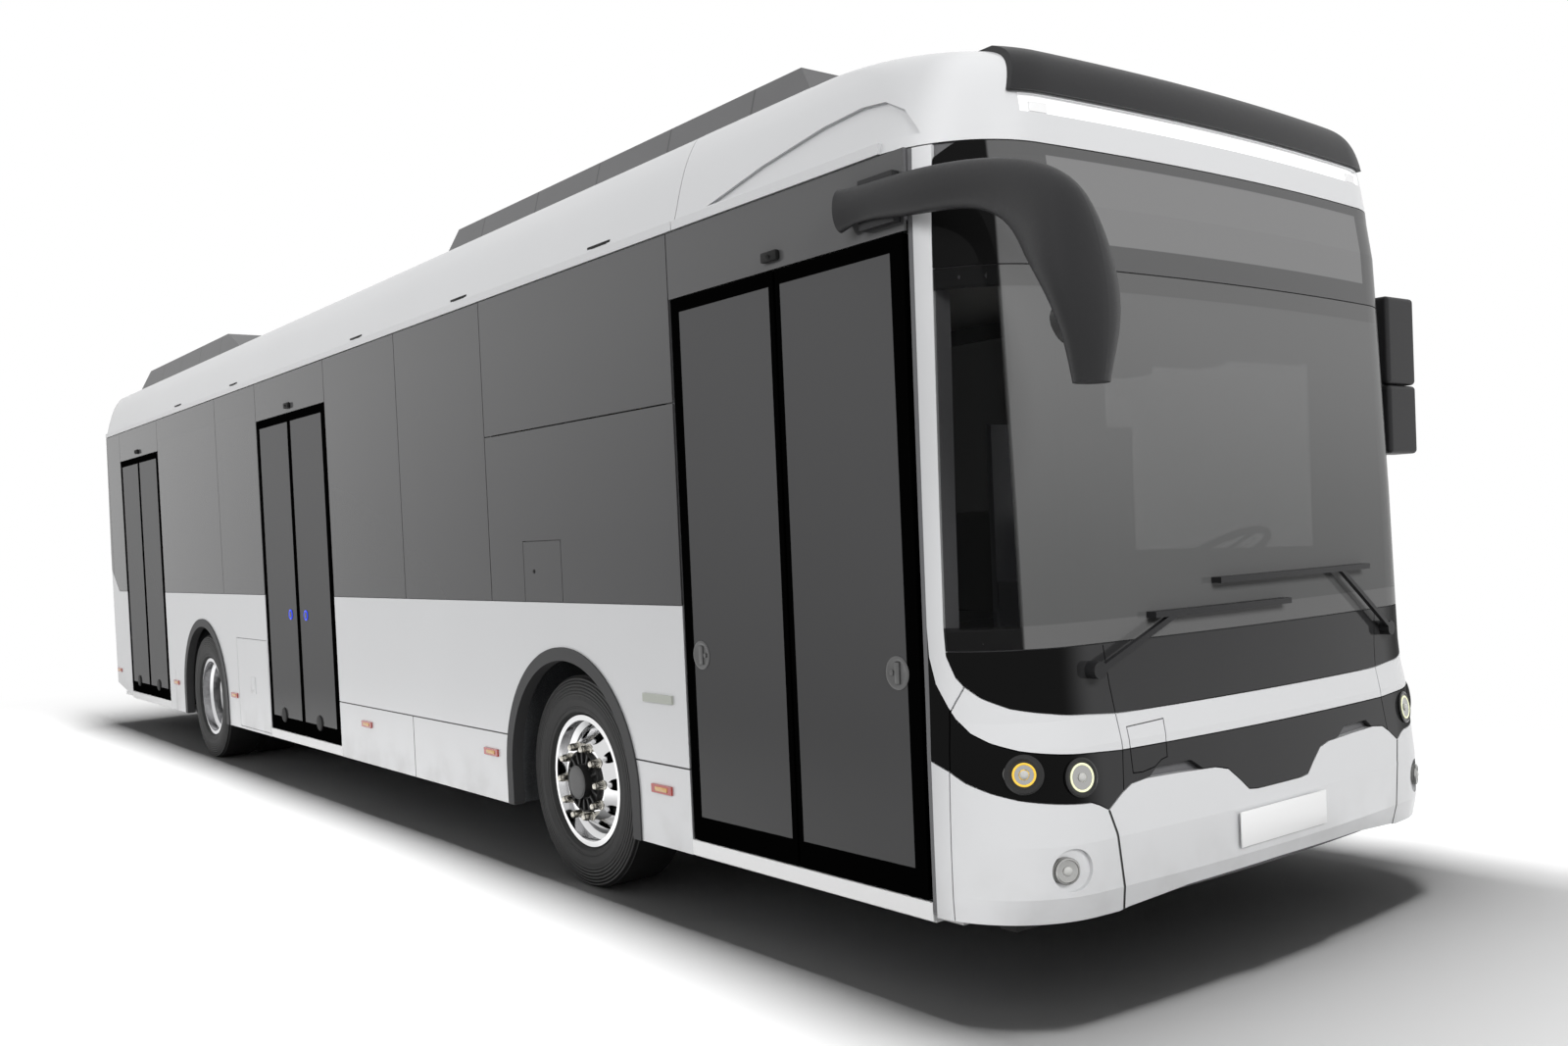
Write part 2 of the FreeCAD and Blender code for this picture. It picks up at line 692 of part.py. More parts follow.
def build_lower_panels():
    """Outer panels under the glass band, split at their seams; at the tail they climb into the glass."""
    panels = []
    over = D.seam_width
    radius = D.arch_radius
    seam_top = D.skirt_seam_height + D.seam_width
    for sign in (-1, 1):
        low, high = sorted((sign * BEHIND_SKIN, sign * D.half_width))
        skin = solid_box((SIDE_REAR, low, D.skirt_height), (SIDE_FRONT, high, D.belt_height))
        climb = solid_box((SIDE_REAR, low, D.belt_height), (SIDE_FRONT, high, D.rear_glass_foot))
        skin = skin.fuse(climb.common(tail_line(0))).removeSplitter()
        tools = [arch_tool(centre, radius, low - over, high + over) for centre in ARCHES]
        runs = [(ARCHES[0], SIDE_FRONT), (ARCHES[1], ARCHES[0])]
        if sign < 0:
            tools += door_tools(low - over, high + over, 0, D.gutter_height)
            runs[1] = (door_edges(MIDDLE_DOOR)[1], ARCHES[0])
            end = door_edges(MIDDLE_DOOR)[0] - D.service_panel_gap
            corners = [(end - length, low - over, height)
                       for length, height in ((0, D.service_panel_low), (0, D.service_panel_high),
                                              (D.service_panel_length, D.service_panel_high),
                                              (D.service_panel_length, D.service_panel_low))]
            tools.append(seam_ring(corners, Y_AXIS * (D.skin_thick + 2 * over)))
        for seam in (door_edges(REAR_DOOR)[1] + D.tail_split_gap, FRONT_AXLE - D.skirt_split_behind):
            tools.append(solid_box((seam, low - over, 0), (seam + D.seam_width, high + over, seam_top)))
        for rear, front in runs:
            tools.append(solid_box((rear - over, low - over, D.skirt_seam_height),
                                   (front + over, high + over, seam_top)))
        panels += skin.cut(tools + [upsweep_tool()]).Solids
    piece("lower_panels", feature("panels", Part.Compound(panels)))


def build_glass():
    """Flush dark panes of both sides and the pane that wraps round the tail."""
    panes = []
    over = D.seam_width
    foot = D.belt_height + D.seam_width
    head = D.gutter_height - D.seam_width
    slant = tail_line(D.seam_width)
    for sign, seams in ((-1, RIGHT_SEAMS), (1, LEFT_SEAMS)):
        low, high = sorted((sign * BEHIND_SKIN, sign * D.half_width))
        band = solid_box((SIDE_REAR + D.pane_seam, low, foot), (SIDE_FRONT, high, head))
        tools = [solid_box((seam - D.pane_seam / 2, low - over, foot - over),
                           (seam + D.pane_seam / 2, high + over, head + over)) for seam in seams[1:-1]]
        if sign < 0:
            tools += door_tools(low - over, high + over, 0, D.door_head + D.seam_width)
            tools.append(solid_box((FRONT_SEAM, low - over, D.transom_height),
                                   (door_edges(FRONT_DOOR)[0], high + over, D.transom_height + D.pane_seam)))
            tools.append(solid_box((FLAP_REAR - D.seam_width, low - over, foot - over),
                                   (FLAP_FRONT + D.seam_width, high + over,
                                    D.charge_flap_high + D.seam_width)))
        panes += band.cut(tools + [slant]).Solids
    wrap = end_band(-1, -SIDE_REAR, foot, head, 0, D.glass_thick).cut(slant)
    piece("window_glass", feature("glass", Part.Compound(panes + wrap.Solids)))


def build_flares():
    low = INSIDE
    high = D.half_width + D.flare_proud
    reach = 2 * D.arch_radius
    flares = []
    for centre in ARCHES:
        ring = arch_tool(centre, D.arch_radius, low, high)
        ring = ring.cut(arch_tool(centre, D.arch_radius - D.flare_width, low - D.seam_width,
                                  high + D.seam_width))
        ring = ring.common(solid_box((centre - reach, low, D.skirt_height),
                                     (centre + reach, high, D.box_top * 2)))
        flares += [ring, ring.mirror(Vector(), Y_AXIS)]
    piece("arch_flares", feature("flares", Part.Compound(flares)))


def build_roof():
    """Coves with drip strips, roof panel, front dome and tail cap, cut out of one lofted shell."""
    hull = upper_hull(0)
    edge = D.half_width - D.cove_inset
    far = D.front_reach + D.rear_reach
    gap = D.seam_width / 2
    front = DOME_START
    rear = SIDE_REAR
    top = D.roof_height + D.shell_thick
    rise = D.roof_height - D.gutter_height
    strip = solid_box((rear, D.half_width - D.shell_thick / 2, D.gutter_height),
                      (SIDE_FRONT - 2 * D.wall_depth, D.half_width + D.drip_proud,
                       D.gutter_height + D.drip_tall))
    shell = hull.cut(upper_hull(D.shell_thick)).fuse(both_sides(strip).Solids)
    drops = across_prism([(D.front_reach - D.dome_length * along, D.gutter_height + rise * up)
                          for along, up in TEARDROP_SHARES])
    drops = drops.cut(solid_box((0, -D.visor_half_width, 0), (far, D.visor_half_width, top)))
    brow = solid_box((front + D.half_width, -D.brow_half_width, D.brow_low),
                     (far, D.brow_half_width, D.brow_high))
    skin = hull.cut(upper_hull(D.recess_depth))
    dome = shell.common(solid_box((front + gap, -far, 0), (far, far, top)))
    dome = dome.cut([skin.common(drops), skin.common(brow)])
    tail = shell.common(solid_box((-far, -far, 0), (rear - gap, far, top)))
    middle = shell.common(solid_box((rear + gap, -far, 0), (front - gap, far, top)))
    panel = middle.common(solid_box((-far, -edge + gap, 0), (far, edge - gap, top)))
    coves = [middle.common(solid_box((-far, low, 0), (far, high, top)))
             for low, high in ((-far, -edge - gap), (edge + gap, far))]
    piece("front_dome", feature("dome", dome))
    piece("roof_panel", feature("panel", panel))
    piece("coves", feature("cove_pair", Part.Compound(coves)))
    return tail


TAIL_LAMP_SHARES = (0.42, 0.51, 0.6)


def tail_bores(clear):
    """Bores along X for the round lamps beside the service lid, in rows of three."""
    return [Part.makeCylinder(D.tail_lamp_radius + clear, D.half_width,
                              Vector(-D.rear_reach - D.half_width / 2, side * D.tail_lamp_side,
                                     D.rear_glass_foot * share), X_AXIS)
            for side in (-1, 1) for share in TAIL_LAMP_SHARES]


def build_rear(tail):
    """Tail wall with its lid recess and lamp bores, and the service lid."""
    outer = end_band(-1, -SIDE_REAR, D.skirt_height, D.rear_glass_foot, 0, D.glass_thick).common(tail_line(0))
    inner = end_band(-1, -SIDE_REAR, D.skirt_height, D.gutter_height, D.glass_thick, D.wall_depth)
    wall = inner.fuse([outer, tail])
    far = D.rear_reach + D.half_width
    gap = D.seam_width
    recess = end_band(-1, -SIDE_REAR, D.rear_flap_low - gap, D.rear_flap_high + gap, 0,
                      D.rear_flap_thick + gap)
    recess = recess.common(solid_box((-far, -D.rear_flap_half - gap, 0),
                                     (0, D.rear_flap_half + gap, D.gutter_height)))
    window = solid_box((-far, -D.rear_flap_half, D.rear_glass_foot + 2 * D.window_post),
                       (-D.rear_reach + D.half_width / 2, D.rear_flap_half, D.window_head))
    ledge = end_band(-1, -SIDE_REAR, D.skirt_height, D.belt_height, 0, D.trim_thick + D.seat_gap)
    lamps = ledge.common(Part.Compound(tail_bores(D.seat_gap)))
    wall = wall.cut([recess, window, upsweep_tool(), lamps])
    piece("rear_wall", feature("tail_wall", wall))
    lid = end_band(-1, -SIDE_REAR, D.rear_flap_low, D.rear_flap_high + gap - D.seat_gap, 0, D.rear_flap_thick)
    lid = lid.common(solid_box((-far, -D.rear_flap_half, 0), (0, D.rear_flap_half, D.gutter_height)))
    piece("rear_flap", feature("lid", lid))


def lamp_spots():
    """Middle of each round front lamp: side, height and radius."""
    return [(D.inner_lamp_side, D.inner_lamp_height, D.head_lamp_radius),
            (D.outer_lamp_side, D.outer_lamp_height, D.head_lamp_radius),
            (D.fog_lamp_side, D.fog_lamp_height, D.fog_lamp_radius)]


def lamp_bores(clear):
    """Bores along X for the front lamps of both sides."""
    return [Part.makeCylinder(radius + clear, D.front_reach, Vector(STRIP_END, side * across, height), X_AXIS)
            for side in (-1, 1) for across, height, radius in lamp_spots()]


def side_view(pairs, lift):
    """Points (x, z) from shares of the corner's run along X and of the belt height."""
    run = D.front_reach - STRIP_START
    return [(STRIP_START + run * along, D.belt_height * up + lift) for along, up in pairs]


def across_prism(points):
    """Outline of (x, z) points pushed through the whole width."""
    wide = D.half_width * 2
    return prism([(x, -wide, z) for x, z in points], Y_AXIS * wide * 2)


def front_prism(points):
    """Outline of (y, z) points pushed forwards from the corner's start."""
    return prism([(STRIP_START, y, z) for y, z in points], X_AXIS * D.front_reach)


def under_belt(lift):
    """Everything below the belt's lower edge, which climbs into the corner strips."""
    edge = side_view(BELT_LOW_SHARES, lift)
    far = D.front_reach * 2
    return across_prism([(JAMB_START, 0)] + [(JAMB_START, edge[0][1])] + edge + [(far, edge[-1][1]),
                                                                                 (far, 0)])


def over_belt(lift):
    """Everything above the belt's upper edge and inboard of the corner strips."""
    edge = side_view(BELT_HIGH_SHARES, lift)
    far = D.front_reach * 2
    edge[0] = (edge[0][0] + lift, D.roof_height)
    return across_prism(edge + [(far, edge[-1][1]), (far, D.roof_height)])


def over_bumper(lift):
    """Everything above the bumper's stepped upper edge."""
    corner = side_view(BUMPER_CORNER_SHARES, lift)
    far = D.front_reach * 2
    high = D.roof_height
    sides = across_prism([(JAMB_START, high), (JAMB_START, corner[0][1])] + corner
                         + [(far, corner[-1][1]), (far, high)])
    middle = [(D.half_width * across, D.belt_height * up + lift) for across, up in BUMPER_MIDDLE_SHARES]
    edge = middle + [(-y, z) for y, z in reversed(middle)]
    centre = front_prism([(edge[0][0], high)] + edge + [(edge[-1][0], high)])
    wide = D.half_width * BUMPER_MIDDLE_SHARES[0][0]
    outer = sides.cut(solid_box((0, -wide, 0), (far, wide, high)))
    return outer.fuse(centre)


BELT_LOW_SHARES = ((0.0, 0.964), (0.012, 0.891), (0.063, 0.825), (0.161, 0.769), (0.214, 0.743),
                   (0.32, 0.709),
                   (0.446, 0.686), (0.607, 0.666), (0.749, 0.654), (0.827, 0.647), (0.86, 0.641))
BELT_HIGH_SHARES = ((0.14, 1.0), (0.14, 0.964), (0.152, 0.892), (0.219, 0.84), (0.275, 0.819), (0.381, 0.791),
                    (0.542, 0.764), (0.704, 0.747), (0.773, 0.737), (0.81, 0.727))
BUMPER_CORNER_SHARES = ((0.0, 0.634), (0.157, 0.613), (0.287, 0.587), (0.453, 0.565), (0.617, 0.547),
                        (0.747, 0.5365), (0.86, 0.527))
BUMPER_MIDDLE_SHARES = ((0.735, 0.527), (0.711, 0.518), (0.681, 0.502), (0.631, 0.535), (0.593, 0.554),
                        (0.537, 0.5605), (0.416, 0.558), (0.27, 0.552), (0.22, 0.541), (0.173, 0.505),
                        (0.141, 0.4775), (0.102, 0.4735))
NOTCH_SHARES = ((0.53, 0.5605), (0.496, 0.585), (0.366, 0.5845), (0.338, 0.568), (0.318, 0.555))
SEAM_LOW_SHARES = ((0.636, 0.24), (0.663, 0.445), (0.681, 0.502))
SEAM_HIGH_SHARES = ((0.6392, 0.9), (0.614, 0.726), (0.612, 0.641), (0.627, 0.53))
BELT_SEAM_SHARES = ((0.164, 0.4), (0.164, 0.757), (0.2747, 0.821), (0.2843, 0.8175), (0.1735, 0.7535),
                    (0.1735, 0.4))
TOW_SHARES = ((0.586, 0.694), (0.446, 0.70), (0.452, 0.602), (0.475, 0.598), (0.503, 0.583), (0.55, 0.576),
              (0.585, 0.578))
BUMPER_FOOT_SHARES = ((0.71, 0.24), (0.62, 0.256), (0.4, 0.2725), (0.0, 0.2765))
SIGN_CROWN_SHARES = (0.97, 0.985)


def sign_top():
    """Rounded upper corners of the glass over the front."""
    far = D.front_reach * 2
    first, second = SIGN_CROWN_SHARES
    edge = [(STRIP_END - D.pane_seam, D.sign_head * first), (STRIP_END + D.pane_seam, D.sign_head * second),
            (STRIP_END + D.window_post, D.sign_head)]
    return across_prism([(JAMB_START, D.roof_height), (JAMB_START, edge[0][1])] + edge
                        + [(far, D.sign_head), (far, D.roof_height)])


def upright_seams(shares):
    """Thin seams on both sides of the front along a run of (y, z) shares."""
    edge = [(D.half_width * across, D.belt_height * up) for across, up in shares]
    seams = []
    for side in (-1, 1):
        line = [(side * y, z) for y, z in edge]
        seams.append(front_prism(line + [(y - side * D.seam_width, z) for y, z in reversed(line)]))
    return seams


def build_front():
    """Bumper, lamp band, belt with its corner strips, dark panel, two glasses and the frame behind them."""
    gap = D.seam_width
    start = STRIP_START
    foot = D.floor_height + gap
    far = D.front_reach * 2
    bores = lamp_bores(D.seat_gap)
    skin = end_band(1, start, D.bumper_low, D.sign_head, 0, D.trim_thick)
    thin = end_band(1, start, D.bumper_low, D.sign_head, 0, D.glass_thick)
    crown = sign_top()
    above = over_bumper(0)
    cups = end_band(1, start, D.bumper_low, D.bumper_high, 0, D.recess_depth).common(Part.Compound(
        [Part.makeCylinder(D.fog_recess_radius, D.front_reach,
                           Vector(STRIP_END, side * D.fog_recess_side, D.fog_lamp_height),
                           X_AXIS) for side in (-1, 1)]))
    hem = [(D.half_width * across, D.belt_height * up) for across, up in BUMPER_FOOT_SHARES]
    hem += [(-y, z) for y, z in reversed(hem[:-1])]
    hem = front_prism([(hem[0][0], 0)] + hem + [(hem[-1][0], 0)])
    corner = across_prism(side_view(BELT_SEAM_SHARES, 0))
    foot_seams = [solid_box((STRIP_END + gap * 2, -far, 0), (STRIP_END + gap * 3, far, D.belt_height))]
    foot_seams += upright_seams(SEAM_LOW_SHARES)
    bumper = skin.cut([above, cups, hem] + bores + foot_seams)
    piece("bumper", feature("bumper_skin", Part.Compound(bumper.Solids)))
    tow = seam_ring([(start, -D.half_width * across, D.belt_height * up) for across, up in TOW_SHARES],
                    X_AXIS * D.front_reach)
    seams = upright_seams(SEAM_HIGH_SHARES) + [corner, tow]
    below = under_belt(-gap)
    notches = [front_prism([(side * D.half_width * across, D.belt_height * up) for across,
                            up in NOTCH_SHARES])
               for side in (-1, 1)]
    band = skin.common(below).common(over_bumper(gap)).cut(bores + notches + seams)
    panel = thin.common(over_belt(gap)).cut(seams[:2])
    panel = panel.common(solid_box((start, -far, 0), (far, far, D.screen_foot - gap)))
    piece("front_black_panels", feature("black_panels", Part.Compound(band.Solids + panel.Solids)))
    belt = skin.cut([under_belt(0), over_belt(0)] + seams)
    belt = belt.common(solid_box((start, -far, 0), (far, far, D.sign_head)))
    piece("front_belt", feature("belt", Part.Compound(belt.Solids)))
    glass = thin.common(over_belt(gap)).cut(crown)
    screen = glass.common(solid_box((start, -far, D.screen_foot), (far, far, D.screen_head - gap)))
    piece("windscreen", feature("screen", screen))
    sign = glass.common(solid_box((start, -far, D.screen_head), (far, far, D.sign_head)))
    piece("destination_glass", feature("sign", sign))
    inner = end_band(1, JAMB_START, foot, D.sign_head, D.trim_thick + D.seat_gap, D.frame_depth)
    jamb = end_band(1, JAMB_START, foot, D.sign_head, 0, D.frame_depth)
    jamb = jamb.common(solid_box((JAMB_START, -far, 0), (start - D.seat_gap, far, far)))
    backing = end_band(1, start, foot, D.sign_head, D.glass_thick + D.seat_gap,
                       D.frame_depth).common(over_belt(gap))
    openings = [solid_box((STRIP_END + gap, -D.half_width, D.screen_foot + D.window_post),
                          (far, D.half_width, D.screen_head - D.window_post)),
                solid_box((STRIP_END + D.corner_radius / 2, -D.half_width, D.screen_head + D.window_post),
                          (far, D.half_width, D.sign_head - D.window_post))]
    post = Vector(SIDE_FRONT + D.pillar_back, D.pillar_depth - D.half_width, 0)
    pockets = [Part.makeCylinder(D.pillar_radius + D.swing_arm_gap, D.roof_height, post, Z_AXIS)]
    tall = 4 * D.swing_arm_gap + D.swing_arm_thick
    for low in (D.door_foot - tall, D.door_head):
        pockets.append(Part.makeCylinder(D.frame_depth, tall, post + Z_AXIS * low, Z_AXIS))
    frame = inner.fuse([backing] + jamb.Solids).cut(openings + pockets)
    piece("front_frame", feature("nose_frame", frame.removeSplitter()))
    visor = upper_hull(-D.visor_thick).cut(upper_hull(-D.seat_gap))
    root = DOME_START + D.half_width
    ends = [(root, -D.visor_half_width, D.visor_low), (root, D.visor_half_width, D.visor_low),
            (root, D.visor_top_half, D.visor_high), (root, -D.visor_top_half, D.visor_high)]
    piece("roof_visor", feature("visor", visor.common(prism(ends, X_AXIS * far))))


def build_pods():
    """Battery housings on the roof, each with its own end slopes."""
    pods = []
    steep = D.pod_steep_run
    for start, end, rise, tail_run, nose_run in (
            (FRONT_AXLE - D.front_pod_behind, FRONT_AXLE + D.front_pod_ahead, D.front_pod_rise, steep, steep),
            (REAR_AXLE - D.rear_pod_behind, REAR_AXLE + D.rear_pod_ahead, D.rear_pod_rise,
             D.pod_tail_run, D.pod_nose_run)):
        wires = []
        for height, rear, front, half in (
                (D.roof_height, start, end, D.pod_half_width),
                (D.roof_height + rise, start + tail_run, end - nose_run,
                 D.pod_half_width - D.pod_side_slope)):
            corners = [Vector(x, y, height) for x, y in ((rear, -half), (front, -half), (front, half),
                                                         (rear, half))]
            wires.append(Part.makePolygon(corners + corners[:1]))
        pods.append(Part.makeLoft(wires, True, True))
    piece("roof_pods", feature("pods", Part.Compound(pods)))


def build_lamps():
    """Round lamps that follow the skin, marker boxes under the visor, and the side lamps and reflectors."""
    face = end_band(1, STRIP_END, D.bumper_low, D.front_belt_low, 0, D.trim_thick)
    lamps = list(face.common(Part.Compound(lamp_bores(0))).Solids)
    face = end_band(-1, -SIDE_REAR, D.skirt_height, D.belt_height, 0, D.trim_thick)
    lamps += face.common(Part.Compound(tail_bores(0))).Solids
    face = upper_hull(D.seam_width).cut(upper_hull(D.recess_depth - D.seat_gap))
    long = D.marker_length / 2
    for side in (-D.marker_side, D.marker_side):
        lamps += face.common(solid_box((DOME_START + D.half_width, side - long, D.brow_low + D.seam_width),
                                       (D.front_reach, side + long, D.brow_low + D.reflector_tall))).Solids
    tall = D.reflector_tall / 2
    spots = [(x, D.reflector_height, D.reflector_length)
             for x in (FRONT_AXLE + D.front_reflector_ahead, FRONT_AXLE - D.front_reflector_behind,
                       FRONT_AXLE - D.middle_reflector_behind, REAR_AXLE + D.rear_reflector_ahead,
                       REAR_AXLE - D.rear_reflector_behind, REAR_AXLE - D.tail_reflector_behind)]
    spots.append((FRONT_AXLE + D.turn_lamp_ahead, D.turn_lamp_height, D.turn_lamp_length))
    for side in (-1, 1):
        low, high = sorted((side * D.half_width, side * (D.half_width + D.side_lamp_proud)))
        for x, height, length in spots:
            lamps.append(solid_box((x - length / 2, low, height - tall),
                                   (x + length / 2, high, height + tall)))
    piece("lamps", feature("lamp_set", Part.Compound(lamps)))


OVAL_POINTS = 16


def oval_wire(centre, along, across, tall, wide):
    """Closed oval round a centre, drawn from the same side each time so that a loft runs straight."""
    points = []
    for step in range(OVAL_POINTS):
        turn = 2 * math.pi * step / OVAL_POINTS
        points.append(Vector(*centre) + Vector(*along) * (tall * math.cos(turn))
                      + Vector(*across) * (wide * math.sin(turn)))
    curve = Part.BSplineCurve()
    curve.interpolate(points, PeriodicFlag=True)
    return Part.Wire(curve.toShape())


# Stations of the right mirror: along its run, down its drop, lean in degrees, half height, half width.
MIRROR_SHARES = ((0.0, 0.0, 0, 0.583, 0.304), (0.286, 0.0145, 2, 0.55, 0.304),
                 (0.562, 0.058, 8, 0.583, 0.391),
                 (0.759, 0.152, 25, 0.75, 0.522), (0.887, 0.312, 50, 0.98, 0.783),
                 (0.951, 0.5, 75, 0.833, 1.0),
                 (0.995, 0.717, 88, 0.583, 0.913), (1.0, 0.877, 90, 0.44, 0.65),
                 (0.998, 0.971, 90, 0.36, 0.52))


def build_mirrors():
    """Right: one horn that reaches forwards and hangs down. Left: two stacked housings on a bracket."""
    side = D.half_width + D.mirror_clear
    root = D.front_reach - D.mirror_root_setback
    wires = []
    for along, down, lean, tall, wide in MIRROR_SHARES:
        turn = math.radians(lean)
        centre = (root + D.mirror_run * along, -side, D.mirror_root_height - D.mirror_drop * down)
        wires.append(oval_wire(centre, (math.sin(turn), 0, math.cos(turn)), (0, 1, 0),
                                  D.mirror_tall * tall, D.mirror_wide * wide))
    horn = Part.makeLoft(wires, True, False)
    radius = D.mirror_pad_radius
    face = -D.half_width - D.seat_gap
    middle = root + radius
    pad = Part.makeCylinder(radius, D.mirror_pad_thick, Vector(middle, face, D.mirror_root_height), -Y_AXIS)
    plate = solid_box((middle, face - D.mirror_pad_thick, D.mirror_root_height - radius),
                      (middle + D.mirror_pad_length, face, D.mirror_root_height + radius))
    right = horn.fuse([pad, plate])
    front = D.front_reach - D.left_mirror_setback
    rear = front - D.left_mirror_depth
    low = D.half_width + D.left_mirror_gap
    high = low + D.left_mirror_width
    split = D.left_mirror_split
    cases = []
    for foot, head in ((D.left_mirror_foot, split), (split + D.seam_width, D.left_mirror_head)):
        case = solid_box((rear, low, foot), (front, high, head))
        cases.append(case.makeFillet(D.left_mirror_round, case.Edges))
    bracket = solid_box((rear - D.left_bracket_length, -face, split - D.left_bracket_tall / 2),
                        (front - D.left_mirror_round * 2, low + D.left_mirror_round * 2,
                         split + D.left_bracket_tall / 2))
    left = cases[0].fuse([cases[1], bracket])
    piece("mirrors", feature("mirror_pair", Part.Compound(right.Solids + left.Solids)))


def build_wipers():
    """Two arms on pivots with blades that follow the glass."""
    parts = []
    thin = D.wiper_blade / 2
    for side, lift, outboard, inboard in ((-1, 0, D.right_blade_outboard, D.right_blade_inboard),
                                          (1, D.wiper_step, D.left_blade_outboard, D.left_blade_inboard)):
        across = side * D.wiper_side
        low = D.wiper_height
        tip = side * (D.wiper_side - D.wiper_arm_reach)
        high = low + D.wiper_rise + lift
        ends = sorted((tip + side * outboard, tip - side * inboard))
        blade = end_band(1, STRIP_END, high - thin, high + thin, -D.wiper_proud, -D.wiper_clear)
        blade = blade.common(solid_box((STRIP_END, ends[0], 0), (D.front_reach * 2, ends[1], D.roof_height)))
        arm = end_band(1, STRIP_END, low - D.wiper_radius, high + thin, -D.wiper_proud,
                       D.wiper_arm_thick - D.wiper_proud)
        arm = arm.common(front_prism([(across, low - thin), (across, low + thin), (tip, high + thin),
                                      (tip, high - thin)]))
        spare = 2 * D.wiper_radius
        stub = end_band(1, STRIP_END, low - spare, low + spare, -D.wiper_proud, 0)
        stub = stub.common(Part.makeCylinder(D.wiper_radius, D.front_reach, Vector(STRIP_END, across, low),
                                             X_AXIS))
        parts.append(stub.fuse([arm, blade]))
    piece("wipers", feature("wiper_pair", Part.Compound(parts)))


def ring_tools():
    """Middle of the steering wheel and the direction of its column, from the hub down."""
    middle = Vector(D.front_reach - D.wheel_ring_setback, D.driver_side, D.wheel_ring_height)
    lean = math.radians(D.wheel_ring_tilt)
    return middle, Vector(math.sin(lean), 0, -math.cos(lean))


def build_dashboard():
    """Shelf along the front, the driver's console and the steering column."""
    far = D.front_reach * 2
    shelf = end_band(1, SIDE_FRONT, D.dash_low, D.dash_high, D.frame_depth + D.seat_gap,
                     D.frame_depth + D.dash_depth)
    shelf = shelf.common(solid_box((SIDE_FRONT + D.corner_radius / 2, -D.dash_side, 0),
                                   (far, D.half_width, far)))
    front = D.front_reach - D.console_setback
    console = solid_box((front - D.console_depth, D.cab_side + D.partition_thick * 2, D.dash_low),
                        (front, D.dash_side, D.dash_high))
    middle, down = ring_tools()
    column = Part.makeCylinder(D.column_radius, D.column_length,
                               middle + down * (D.wheel_ring_tube + D.seat_gap), down)
    piece("dashboard", feature("dash", shelf.fuse([console, column])))


SPOKES = 3


def build_steering_wheel():
    """Ring on three spokes with its hub."""
    tube = D.wheel_ring_tube
    ring = Part.makeTorus(D.wheel_ring_radius, tube, Vector(), Z_AXIS)
    hub = Part.makeCylinder(D.column_radius, tube * 2, Vector(0, 0, -tube), Z_AXIS)
    turns = [2 * math.pi * step / SPOKES for step in range(SPOKES)]
    spokes = [Part.makeCylinder(tube / 2, D.wheel_ring_radius, Vector(),
                                Vector(math.cos(turn), math.sin(turn), 0))
              for turn in turns]
    wheel = ring.fuse([hub] + spokes)
    wheel.Placement = Placement(ring_tools()[0], Rotation(Y_AXIS, -D.wheel_ring_tilt))
    piece("steering_wheel", feature("hand_wheel", wheel))


def build_cab():
    """Wall behind the driver's seat and the half door to the aisle, hung on two barrels."""
    rear = "front_reach - partition_setback"
    wall = block("partition_wall", (rear, f"{rear} + partition_thick"),
                 ("cab_side", "half_width - wall_depth"),
                 ("floor_height", "partition_high"))
    start = f"({rear} + partition_thick + seam_width * 2)"
    door = block("cab_gate", (start, f"{start} + cab_door_width"), ("cab_side", "cab_side + partition_thick"),
                 ("floor_height + seam_width * 2", "cab_door_high"))
    fixed = [wall]
    swung = [door]
    pin = (f"{start} - seam_width", "cab_side - hinge_radius")
    for index, base in enumerate(("(floor_height + hinge_tall * 2)", "(cab_door_high - hinge_tall * 4)")):
        turned = f"({base} + hinge_tall + seat_gap)"
        for parts, low, tab in ((fixed, base, (f"{start} - seam_width * 4", f"{start} - seam_width")),
                                (swung, turned, (f"{start} - seam_width", f"{start} + seam_width * 4"))):
            kind = "fixed" if parts is fixed else "swung"
            parts.append(rod(f"barrel_{kind}_{index}", "hinge_radius", "hinge_tall", pin + (low,), Z_AXIS))
            parts.append(block(f"tab_{kind}_{index}", tab, ("cab_side - hinge_radius", "cab_side"),
                               (low, f"{low} + hinge_tall")))
    piece("cab_partition", fuse("cab_wall", fixed))
    piece("cab_door", fuse("cab_leaf", swung))


POLE_ROW_SHARES = ((0, 0.375, (-1, 1)), (1, -0.25, (-1, 1)), (3, 0.375, (1,)), (4, -0.25, (-1, 1)),
                   (5, 0.125, (1,)))


def seat_rows():
    """Places of the seat rows along the left side, from the front, reckoned from the axles."""
    rows = [FRONT_AXLE - D.front_row_behind - D.seat_pitch * step for step in range(3)]
    rows += [REAR_AXLE + D.rear_row_ahead - D.seat_pitch * step for step in range(2)]
    return rows + [REAR_AXLE - D.tail_row_behind - D.seat_pitch * step for step in range(2)]


def seat(x, y, foot):
    """Shell on a post, with a seat pad and a back pad, facing forwards."""
    half = D.seat_width / 2
    shell = D.seat_shell
    base = foot + D.seat_height - D.seat_pad
    pan = solid_box((x - half, y - half, base - shell), (x + half, y + half, base))
    back = solid_box((x - half - shell, y - half, base - shell),
                     (x - half, y + half, base + D.seat_back_high))
    post = solid_box((x - shell * 2, y - shell * 2, foot), (x + shell * 2, y + shell * 2, base - shell))
    narrow = half - shell / 2
    pad = solid_box((x - half + D.seat_pad + D.seam_width, y - narrow, base + D.seat_gap),
                    (x + half, y + narrow, base + D.seat_pad))
    rest = solid_box((x - half + D.seat_gap, y - narrow, base + D.seat_gap),
                     (x - half + D.seat_pad, y + narrow, base + D.seat_back_high - shell))
    return pan.fuse([back, post]), [pad, rest]


